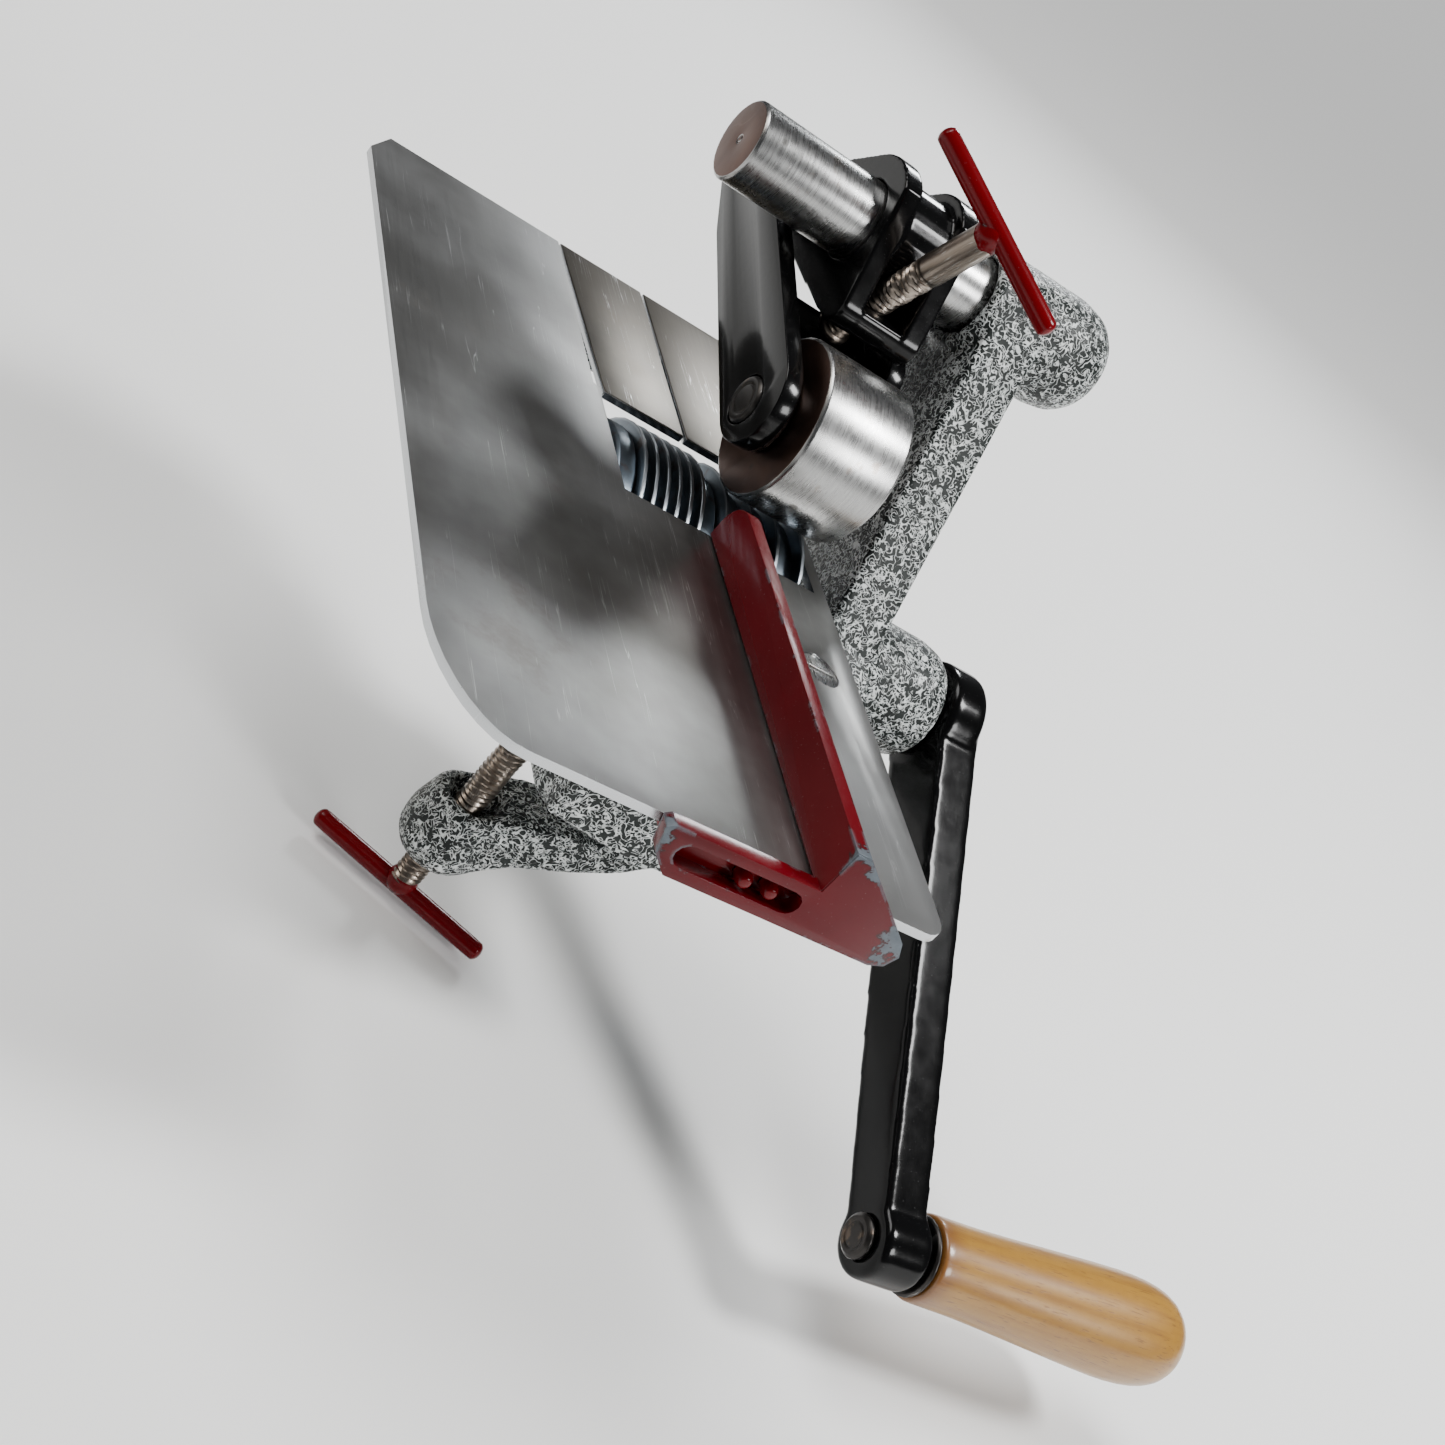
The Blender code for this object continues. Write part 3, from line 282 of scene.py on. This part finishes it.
# %% Signals
class Signal:
    def __init__(self, finish, socket):
        self.finish = finish
        self.socket = socket

    def math(self, operation, *values):
        return self.finish.node("Math", {"operation": operation}, dict(enumerate(values)))

    def __add__(self, other):
        return self.math("ADD", self, other)

    def __radd__(self, other):
        return self.math("ADD", other, self)

    def __sub__(self, other):
        return self.math("SUBTRACT", self, other)

    def __rsub__(self, other):
        return self.math("SUBTRACT", other, self)

    def __mul__(self, other):
        return self.math("MULTIPLY", self, other)

    def __rmul__(self, other):
        return self.math("MULTIPLY", other, self)

    def __pow__(self, other):
        return self.math("POWER", self, other)

    def __abs__(self):
        return self.math("ABSOLUTE", self)

    def most(self, other):
        return self.math("MAXIMUM", self, other)

    def ramp(self, low, high):
        """0 below low, 1 above high, with a soft step between."""
        settings = {"interpolation_type": "SMOOTHSTEP"}
        return self.finish.node("MapRange", settings, {"Value": self, "From Min": low, "From Max": high})


# %% Finishes
class Finish:
    def __init__(self, name, **constants):
        self.material = bpy.data.materials.new(name)
        self.material.use_nodes = True
        self.tree = self.material.node_tree
        self.shader = self.tree.nodes["Principled BSDF"]
        for socket, value in constants.items():
            self.shader.inputs[socket.replace("_", " ")].default_value = value

    def node(self, kind, settings=None, values=None, out=0):
        made = self.tree.nodes.new("ShaderNode" + kind)
        for key, value in (settings or {}).items():
            setattr(made, key, value)
        for key, value in (values or {}).items():
            self.feed(made.inputs[key], value)
        return Signal(self, made.outputs[out])

    def feed(self, socket, value):
        if isinstance(value, Signal):
            self.tree.links.new(value.socket, socket)
        elif isinstance(value, tuple) and len(value) == 3 and socket.type == "RGBA":
            socket.default_value = (*value, 1)
        else:
            socket.default_value = value

    def out(self, **signals):
        for socket, value in signals.items():
            self.feed(self.shader.inputs[socket.replace("_", " ")], value)

    def place(self, scale=(1, 1, 1), turn=(0, 0, 0), shift=(0, 0, 0)):
        """Object coordinates in metres, turned, moved and stretched."""
        coords = self.node("TexCoord", out="Object")
        return self.node("Mapping", {"vector_type": "POINT"},
                         {"Vector": coords, "Scale": scale, "Rotation": turn, "Location": shift})

    def noise(self, scale, at=None, detail=3.0, rough=0.5, warp=0.0):
        values = {"Vector": at or self.place(), "Scale": scale, "Detail": detail, "Roughness": rough,
                  "Distortion": warp}
        return self.node("TexNoise", None, values)

    def cells(self, scale, at=None):
        return self.node("TexVoronoi", {"feature": "F1"}, {"Vector": at or self.place(), "Scale": scale})

    def mix(self, factor, first, second):
        return self.node("Mix", {"data_type": "RGBA"}, {"Factor": factor, 6: first, 7: second}, out=2)

    def axis(self, which):
        """One of the object's coordinates as a number, in metres."""
        coords = self.node("TexCoord", out="Object")
        return self.node("SeparateXYZ", None, {"Vector": coords}, out=which)

    def facing(self, which):
        """One part of the surface's normal."""
        normal = self.node("NewGeometry", out="Normal")
        return self.node("SeparateXYZ", None, {"Vector": normal}, out=which)

    def near(self, point, inner, outer):
        """1 within the inner distance of a point, falling to 0 at the outer one."""
        coords = self.node("TexCoord", out="Object")
        gap = self.node("VectorMath", {"operation": "DISTANCE"}, {0: coords, 1: tuple(point)}, out="Value")
        return 1 - gap.ramp(inner, outer)

    def edges(self, radius, low=0.01, high=0.09):
        """1 on sharp edges, found by comparing the normal with a rounded one."""
        rounded = self.node("Bevel", {"samples": 4}, {"Radius": radius})
        flat = self.node("NewGeometry", out="Normal")
        match = self.node("VectorMath", {"operation": "DOT_PRODUCT"}, {0: rounded, 1: flat}, out="Value")
        return (1 - match).ramp(low, high)

    def bump(self, height, strength=0.4, distance=0.2 * MM):
        values = {"Height": height, "Strength": strength, "Distance": distance}
        self.out(Normal=self.node("Bump", None, values))


# %% Floor finish
paper = Finish("floor_paper", Roughness=0.9)
paper.out(Base_Color=(0.88, 0.88, 0.87))
floor.data.materials.append(paper.material)

# %% [markdown]
# ## The casting's wrinkle enamel
#
# The frame is painted in a grey enamel that wrinkled as it dried: worm-like pale
# ridges less than a millimetre wide lie on a dark green-grey ground. A noise
# pattern is close to one half along winding lines, so the distance from one half
# draws the worms, and other noises break them into short pieces.

# %% Wrinkle enamel
def wrinkle_enamel():
    f = Finish("casting_enamel", Specular_IOR_Level=0.22)
    worms = abs(f.noise(560, detail=0.4, warp=1.5) - 0.5)
    second = abs(f.noise(700, at=f.place(shift=(0.3, 0.1, 0.7)), detail=0.4, warp=1.2) - 0.5)
    gaps = f.noise(520, at=f.place(shift=(0.9, 0.4, 0.2)), detail=1.0).ramp(0.36, 0.42)
    thin = f.noise(480, at=f.place(shift=(0.2, 0.8, 0.5)), detail=1.0).ramp(0.40, 0.46)
    ridge = ((1 - worms.ramp(0.030, 0.066)) * gaps).most((1 - second.ramp(0.022, 0.052)) * thin * 0.85)
    dark = f.mix(f.noise(240, detail=3), (0.002, 0.0035, 0.003), (0.022, 0.028, 0.026))
    pale = f.mix(f.noise(300, detail=2), (0.42, 0.46, 0.45), (0.95, 0.97, 0.96))
    colour = f.mix(ridge, dark, pale)
    grime = f.noise(34, detail=4).ramp(0.58, 0.80) * 0.40
    f.out(Base_Color=f.mix(grime, colour, (0.05, 0.038, 0.022)), Roughness=0.42 - ridge * 0.14)
    f.bump(ridge + f.noise(1500, detail=2) * 0.25, 1.0, 0.35 * MM)
    return f.material


# %% [markdown]
# ## Black and red gloss enamel
#
# Both are thick brushed-on gloss paint. It has a faint orange-peel waviness, and
# it is chipped where edges get knocked: grey metal shows through the red, and a
# rusty brown through the black. The chips are where an edge mask and a coarse
# noise agree. Corners that hit the table are worn bare, so a list of such places
# raises the wear around them.

# %% Gloss enamel
def gloss_enamel(name, colour, deep, metal, wear, rough, knocked=()):
    f = Finish(name, Coat_Roughness=0.06, Specular_IOR_Level=0.16)
    blotch = f.noise(150, detail=5, rough=0.62)
    harm = f.edges(1.1 * MM) * wear
    for point, reach in knocked:
        harm = harm + f.near(point, reach * 0.1, reach) * 0.30
    wear_map = harm + blotch * 0.80 - f.noise(900, detail=2) * 0.10
    chips = wear_map.ramp(0.60, 0.625)
    rim = wear_map.ramp(0.575, 0.595)
    tone = f.mix(f.noise(55, detail=3), colour, deep)
    dust = f.noise(2600, detail=1).ramp(0.72, 0.80) * 0.25
    paint = f.mix(dust, tone, tuple(0.15 + 0.5 * c for c in colour))
    paint = f.mix(rim * 0.7, paint, (0.015, 0.012, 0.012))
    bare = f.mix(f.noise(700, detail=3), metal, tuple(0.45 * c for c in metal))
    f.out(Base_Color=f.mix(chips, paint, bare), Metallic=chips * 0.5,
          Roughness=rough + f.noise(300, detail=3) * 0.12 + chips * 0.25, Coat_Weight=0.07 - chips * 0.07)
    f.bump(f.noise(420, detail=2) * 0.25 - chips * 0.6, 0.35, 0.15 * MM)
    return f.material


# %% [markdown]
# ## Steel
#
# The rod and the roller were turned on a lathe, so fine rings run round them:
# a noise squeezed along the axis and stretched across it. Their end faces were
# left dull and have gone brown. A little waviness in the bump breaks the straight
# highlights as real machining does.

# %% Turned steel
def turned_steel(name, base, rough, stain=0.0, brown=0.0):
    f = Finish(name, Metallic=1.0)
    rings = f.noise(1, at=f.place(scale=(5200, 160, 160)), detail=3)
    scuffs = f.noise(1, at=f.place(scale=(900, 900, 260), turn=(0.6, 0.3, 0.2)), detail=4)
    lines = f.noise(1, at=f.place(scale=(1500, 60, 60), turn=(0, 0.25, 0.35)), detail=3)
    scratches = (1 - abs(lines - 0.5).ramp(0.002, 0.014)) * f.noise(70, detail=2).ramp(0.48, 0.60)
    nicks = 1 - f.cells(95).ramp(0.05, 0.11)
    spots = f.noise(240, detail=4, rough=0.6).ramp(0.60, 0.72)
    ends = abs(f.facing("X")).ramp(0.90, 0.985) * stain
    tone = f.mix(rings * 0.7 + scuffs * 0.3, tuple(0.55 * c for c in base), tuple(1.3 * c for c in base))
    tone = f.mix((spots * 0.45).most(brown * f.noise(90, detail=4)), tone, (0.20, 0.145, 0.105))
    tone = f.mix(scratches * 0.6, tone, (0.80, 0.80, 0.78))
    worn = f.mix(f.noise(180, detail=4), (0.115, 0.056, 0.036), (0.05, 0.026, 0.022))
    tone = f.mix(ends, tone, worn)
    f.out(Base_Color=f.mix(nicks * 0.7, tone, (0.05, 0.045, 0.04)),
          Roughness=rough + rings * 0.14 + scuffs * 0.10 + ends * 0.12)
    f.bump(rings + scuffs * 0.3 - nicks * 1.5 - scratches, 0.05, 0.05 * MM)
    return f.material


# %% [markdown]
# The cutter discs are darker, blued steel that the whetstone left bright only at
# the rim, so the mask is the distance from the crankshaft's axis.

# %% Cutter steel
def cutter_steel():
    f = Finish("dark_steel", Metallic=1.0)
    centre = middle("crankshaft")
    across = ((f.axis("Y") - centre.y) ** 2 + (f.axis("Z") - centre.z) ** 2) ** 0.5
    rim = across.ramp(20.9 * MM, 21.4 * MM)
    rings = f.noise(1, at=f.place(scale=(4000, 200, 200)), detail=3)
    blue = f.mix(f.noise(90, detail=3), (0.055, 0.070, 0.085), (0.17, 0.20, 0.23))
    rust = f.noise(300, detail=4).ramp(0.58, 0.70) * 0.5
    blue = f.mix(rust, blue, (0.09, 0.05, 0.03))
    f.out(Base_Color=f.mix(rim * 0.6, blue, (0.34, 0.36, 0.38)), Roughness=0.24 + rings * 0.18)
    f.bump(rings, 0.12, 0.05 * MM)
    return f.material


# %% [markdown]
# The tray is a sheet brushed along its length. Years of cloth have polished it in
# cloudy patches, and hands have scratched it both ways. Its cut edge was filed
# and shines, so faces that don't look up or down are paler and smoother.

# %% Brushed sheet
def brushed_sheet(name, dim, light, tarnish):
    f = Finish(name, Metallic=1.0)
    brush = f.noise(1, at=f.place(scale=(2600, 45, 45), turn=(0, 0, radians(6))), detail=4)
    cross = f.noise(1, at=f.place(scale=(70, 1500, 70), turn=(0, 0, radians(-28))), detail=3)
    lines = f.noise(1, at=f.place(scale=(260, 8, 8), turn=(0, 0, radians(38))), detail=4, warp=0.3)
    more = f.noise(1, at=f.place(scale=(300, 7, 7), turn=(0, 0, radians(-52))), detail=4, warp=0.3)
    scratches = (1 - abs(lines - 0.5).ramp(0.0008, 0.0035)) * f.noise(45, detail=2).ramp(0.50, 0.58)
    crossing = (1 - abs(more - 0.5).ramp(0.0008, 0.003)) * f.noise(38, detail=2).ramp(0.54, 0.6)
    scratches = scratches.most(crossing)
    cloud = f.noise(17, detail=5, rough=0.58)
    patch = f.noise(30, detail=6, rough=0.7).ramp(0.56, 0.74)
    edge = 1 - abs(f.facing("Z")).ramp(0.25, 0.85)
    tone = f.mix(cloud.ramp(0.34, 0.66), dim, light)
    tone = f.mix(patch * tarnish, tone, (0.20, 0.17, 0.135))
    tone = f.mix(scratches * 0.6, tone, (0.70, 0.70, 0.70))
    tone = f.mix(edge * 0.7, tone, (0.56, 0.58, 0.60))
    f.out(Base_Color=tone,
          Roughness=0.25 + cloud * 0.16 + brush * 0.08 + patch * 0.08 - edge * 0.12)
    f.bump(brush * 0.5 + cross * 0.3 + scratches * 0.8 + cloud * 4.5, 0.16, 0.06 * MM)
    return f.material


# %% [markdown]
# ## Varnished wood
#
# The grip was turned from a pale straight-grained hardwood. The grain runs along
# the handle as long thin streaks with short dark pores, under amber varnish. The
# wood is drawn darker over the last 7 mm next to the ferrule.

# %% Varnished wood
def varnished_wood():
    f = Finish("grip_wood", Coat_Weight=0.35, Coat_Roughness=0.14)
    grain = f.noise(1, at=f.place(scale=(26, 520, 520)), detail=5, rough=0.6, warp=0.3)
    rings = f.noise(1, at=f.place(scale=(9, 150, 150)), detail=3, warp=0.8)
    pores = f.noise(1, at=f.place(scale=(260, 2600, 2600)), detail=2).ramp(0.60, 0.70)
    mottle = f.noise(420, detail=5, rough=0.7)
    tone = f.mix(rings * 0.6 + mottle * 0.4, (0.20, 0.085, 0.010), (0.42, 0.225, 0.034))
    tone = f.mix(grain.ramp(0.42, 0.70) * 0.45, tone, (0.17, 0.060, 0.006))
    tone = f.mix(pores * 0.55, tone, (0.12, 0.045, 0.010))
    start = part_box("wooden_grip")[0].x
    # The wood is drawn darker over the 7 mm next to the ferrule.
    darker_by_ferrule = 1 - (f.axis("X") - start).ramp(0.0, 7 * MM)
    smear = f.noise(60, detail=4).ramp(0.56, 0.76)
    tone = f.mix(darker_by_ferrule * 0.7, tone, (0.12, 0.035, 0.008))
    f.out(Base_Color=f.mix(smear * 0.35, tone, (0.20, 0.08, 0.02)), Roughness=0.30 + grain * 0.15)
    f.bump(grain * 0.5 - pores * 0.6, 0.25, 0.1 * MM)
    return f.material


# %% [markdown]
# ## The finishes by name
#
# One finish is kept for each of the record's slots. A few pieces differ from
# their slot's rule: the guide's corners are knocked bare, the plates behind the
# cutters are browner, the axle, the handle's pin and its ferrule are blacked, and
# both screws are stained, with the foot and the pad that they push.

# %% Make them
guide_low, guide_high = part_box("cloth_guide")
tip = Vector((guide_high.x, guide_low.y, guide_low.z + 4 * MM))
knee = Vector((middle("cloth_guide").x + 6 * MM, guide_low.y, guide_high.z))
toe = Vector((guide_low.x, guide_low.y, guide_low.z + 6 * MM))
RUST = (0.10, 0.055, 0.030)
BARE = (0.15, 0.175, 0.20)
CASTING = wrinkle_enamel()
BLACK = gloss_enamel("black_enamel", (0.0015, 0.0015, 0.0018), (0.003, 0.003, 0.003), RUST, 0.06, 0.10)
RED = gloss_enamel("red_enamel", (0.15, 0.0008, 0.004), (0.08, 0.0005, 0.002), BARE, 0.14, 0.16)
GUIDE_RED = gloss_enamel("guide_enamel", (0.125, 0.0008, 0.005), (0.055, 0.0004, 0.002), BARE, 0.19, 0.18,
                         knocked=[(tip, 11 * MM), (knee, 8 * MM), (toe, 7 * MM)])
STEEL = turned_steel("turned_steel", (0.37, 0.37, 0.365), 0.16, stain=0.95)
STAINED = turned_steel("stained_steel", (0.34, 0.30, 0.26), 0.20, stain=0.3, brown=0.7)
BLACKED = turned_steel("blacked_steel", (0.045, 0.042, 0.040), 0.26)
DARK = cutter_steel()
SHEET = brushed_sheet("tray_sheet", (0.22, 0.215, 0.205), (0.41, 0.41, 0.405), 0.45)
TARNISHED = brushed_sheet("plate_sheet", (0.040, 0.034, 0.026), (0.085, 0.072, 0.055), 0.3)
WOOD = varnished_wood()
FINISH = {"casting_enamel": CASTING, "black_enamel": BLACK, "red_enamel": RED, "turned_steel": STEEL,
          "dark_steel": DARK, "tray_sheet": SHEET, "grip_wood": WOOD}
SPECIAL = {"cloth_guide": GUIDE_RED, "grip_ferrule": BLACKED, "rear_screw_left": TARNISHED,
           "rear_screw_right": TARNISHED, "clamp_pad": STAINED, "pressure_foot": STAINED}
print("finishes:", ", ".join(FINISH))

# %% [markdown]
# ## The castings
#
# The body, the yoke and the crank are iron castings, so they are melted. The
# body's voxels are just under a millimetre, small enough for its bosses and
# coarse enough to stay light.

# %% Body, yoke and crank
for part, voxel, turns in (("body_casting", 0.8, 6), ("carriage_yoke", 0.36, 5), ("crank_arm", 0.42, 40)):
    casting = take(part)
    melt(casting, voxel * MM, turns)
    hand_over(casting, part, FINISH[slot_of_part[part]])

# %% [markdown]
# ## Pieces that only need their edges rounded
#
# The rest is machined or forged: flat faces, round faces and small radii. One
# loop takes each part with the radius, in millimetres, that its maker would have
# left on it.

# %% Rounded pieces
EDGE = {
    "roller_frame": 1.1, "pivot_pin": 0.3, "pivot_spacer": 0.3, "pressure_roller": 0.25,
    "roller_washer": 0.2, "pressure_foot": 0.2, "crankshaft": 0.2,
    "cutter_collar": 0.15, "cutter_fine": 0.04, "cutter_ring": 0.15, "cutter_coarse": 0.04,
    "shaft_sleeve": 0.2, "grip_ferrule": 0.15, "tray": 0.45,
    "tray_screw": 0.12, "rear_screw_left": 0.12, "rear_screw_right": 0.12,
    "cloth_guide": 0.7, "guide_block": 0.3, "guide_screw_1": 0.2, "guide_screw_2": 0.2, "clamp_pad": 0.3,
}
for part, radius in EDGE.items():
    piece = take(part)
    round_edges(piece, radius * MM)
    hand_over(piece, part, SPECIAL.get(part, FINISH[slot_of_part[part]]))

# %% [markdown]
# ## Plates behind the cutters
#
# Nothing shows on top of these two plates, so each is closed over its screw.
# Their top, their underside and the wall of the hole are deleted, and the two
# outlines that are left are filled again.

# %% Closed plates
HOLE_REACH = 4.4 * MM
for side in ("left", "right"):
    plate = take("rear_plate_" + side)
    hole = middle("rear_screw_" + side).xy
    picked = edit_faces(plate, lambda centre, normal: abs(normal.z) > 0.5
                        or (centre.xy - hole).length < HOLE_REACH)
    print(plate.name, picked, "faces taken out")
    bpy.ops.mesh.delete(type="FACE")
    bpy.ops.mesh.select_all(action="SELECT")
    bpy.ops.mesh.fill_holes(sides=0)
    bpy.ops.mesh.select_all(action="SELECT")
    bpy.ops.mesh.normals_make_consistent(inside=False)
    bpy.ops.object.mode_set(mode="OBJECT")
    round_edges(plate, 0.3 * MM)
    hand_over(plate, "rear_plate_" + side, TARNISHED)

# %% [markdown]
# ## Axle, handle pin and rod
#
# The ends of these bars are what one sees of them. The axle and the pin were
# riveted over, which leaves a fine ring pressed into the end; the rod has the
# shallow mark of the lathe's centre. Each is drawn on the end face with insets
# and a small push inwards.

# %% Ends of the bars
def ringed_end(part, inset, groove, depth, edge, material):
    """Presses a ring into the left end of a bar along X."""
    bar = take(part)
    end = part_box(part)[0].x
    picked = edit_faces(bar, lambda centre, normal: normal.x < -0.99 and centre.x < end + 0.05 * MM)
    bpy.ops.mesh.inset(thickness=inset, depth=0)
    bpy.ops.mesh.inset(thickness=groove, depth=-depth)
    bpy.ops.mesh.inset(thickness=groove, depth=depth)
    bpy.ops.object.mode_set(mode="OBJECT")
    print(part, picked, "end face pressed")
    round_edges(bar, edge, segments=2, angle=30)
    hand_over(bar, part, material)


ringed_end("roller_axle", 0.9 * MM, 0.35 * MM, 0.25 * MM, 0.1 * MM, BLACKED)
ringed_end("handle_pin", 0.7 * MM, 0.35 * MM, 0.25 * MM, 0.1 * MM, BLACKED)
ringed_end("roller_rod", 6.4 * MM, 0.3 * MM, 0.20 * MM, 0.15 * MM, STEEL)

# %% [markdown]
# ## The wooden grip
#
# The grip was sanded by hand, so its long curve has no corners. A subdivision
# surface rounds the turned profile; the edge at the ferrule is held by a narrow
# bevel first.

# %% Grip
grip = take("wooden_grip")
apply_modifier(grip, "BEVEL", width=0.5 * MM, segments=2, limit_method="ANGLE", angle_limit=radians(50))
apply_modifier(grip, "SUBSURF", levels=1, render_levels=1)
smooth(grip, 60)
hand_over(grip, "wooden_grip", WOOD)

# %% [markdown]
# ## Threaded screws
#
# A real thread is a groove that winds along the bar. A cylinder is cut into many
# thin rings by subdividing its long edges, and then every point is moved in by
# how far it is along the winding. That leaves one closed skin with no loose ends.

# %% Wind a thread
PITCH = 1.27 * MM
THREAD_DEPTH = 0.52 * PITCH
RINGS_PER_TURN = 8


def threaded_bar(name, length, radius, thread_end):
    """Bar from 0 to length along Z, threaded from 0 to thread_end."""
    bpy.ops.object.select_all(action="DESELECT")
    bpy.ops.mesh.primitive_cylinder_add(vertices=32, radius=radius, depth=length, location=(0, 0, 0))
    bar = bpy.context.active_object
    bar.name = name
    bpy.ops.object.mode_set(mode="EDIT")
    bpy.ops.mesh.select_mode(type="EDGE")
    bpy.ops.mesh.select_all(action="DESELECT")
    bpy.ops.object.mode_set(mode="OBJECT")
    points = bar.data.vertices
    for edge in bar.data.edges:
        a, b = (points[i].co for i in edge.vertices)
        edge.select = abs(a.z - b.z) > 0.5 * length
    bpy.ops.object.mode_set(mode="EDIT")
    bpy.ops.mesh.subdivide(number_cuts=int(length / PITCH * RINGS_PER_TURN))
    bpy.ops.object.mode_set(mode="OBJECT")
    for vert in bar.data.vertices:
        vert.co.z += length / 2
        x, y, z = vert.co
        if 0.01 * MM < z < thread_end:
            phase = (z / PITCH - atan2(y, x) / (2 * pi)) % 1
            fade = min(1.0, (thread_end - z) / PITCH, z / (0.5 * PITCH))
            vert.co.xy *= 1 - THREAD_DEPTH / radius * abs(2 * phase - 1) * fade
    smooth(bar, 50)
    return bar


# %% [markdown]
# Each bar is made upright and then laid from one end of its CAD part to the
# other. Its place goes into its mesh, so that the object itself stays unturned.

# %% The two screws
def ends_of(part, direction):
    """Where a straight round part starts and ends along a direction."""
    axis = Vector(direction).normalized()
    points = [v.co for v in frame["nodes"][part].data.vertices]
    centre = middle(part)
    reach = [(p - centre).dot(axis) for p in points]
    return centre + axis * min(reach), centre + axis * max(reach)


def stand(obj, start, end):
    turn = (end - start).to_track_quat("Z", "X").to_matrix().to_4x4()
    obj.data.transform(Matrix.Translation(start) @ turn)


PRESSURE_SCREW_R = 3.05 * MM
PRESSURE_THREAD = 25 * MM
CLAMP_SCREW_R = 3.10 * MM
CLAMP_PLAIN_END = 1 * MM
screw_axis = next(joint["axis"] for joint in frame["joints"] if joint["name"] == "pressure_turn")
foot, top = ends_of("pressure_screw", screw_axis)
screw = threaded_bar("pressure_screw_made", (top - foot).length, PRESSURE_SCREW_R, PRESSURE_THREAD)
stand(screw, foot, top)
hand_over(screw, "pressure_screw", STAINED)
foot, top = ends_of("clamp_screw", (0, 0, 1))
length = (top - foot).length
screw = threaded_bar("clamp_screw_made", length, CLAMP_SCREW_R, length - CLAMP_PLAIN_END)
stand(screw, foot, top)
hand_over(screw, "clamp_screw", STAINED)

# %% [markdown]
# ## Cross bars
#
# Each screw is turned by a round bar brazed across its end. The joint is a lumpy
# collar of filler under the red enamel. It starts as a sphere that sits towards
# the screw, and every point is pushed in or out a little by a slow wave.

# %% Cross bars with their collars
COLLAR_R = 3.3 * MM
COLLAR_SHIFT = 1.6 * MM


def cross_bar(part):
    bar = take(part)
    apply_modifier(bar, "SUBSURF", levels=1, render_levels=1)
    centre = middle(part)
    bpy.ops.object.select_all(action="DESELECT")
    bpy.ops.mesh.primitive_uv_sphere_add(segments=24, ring_count=14, radius=COLLAR_R)
    lump = bpy.context.active_object
    for vert in lump.data.vertices:
        x, y, z = vert.co / MM
        vert.co *= 1 + 0.06 * sin(2.1 * x + 1.3 * y) * sin(1.7 * z)
    towards_screw = (middle(part.replace("tbar", "screw")) - centre).normalized()
    lump.data.transform(Matrix.Translation(centre + COLLAR_SHIFT * towards_screw))
    apply_modifier(lump, "SMOOTH", factor=0.5, iterations=2)
    only(bar)
    lump.select_set(True)
    bpy.ops.object.join()
    smooth(bar, 60)
    hand_over(bar, part, RED)


cross_bar("pressure_tbar")
cross_bar("clamp_tbar")
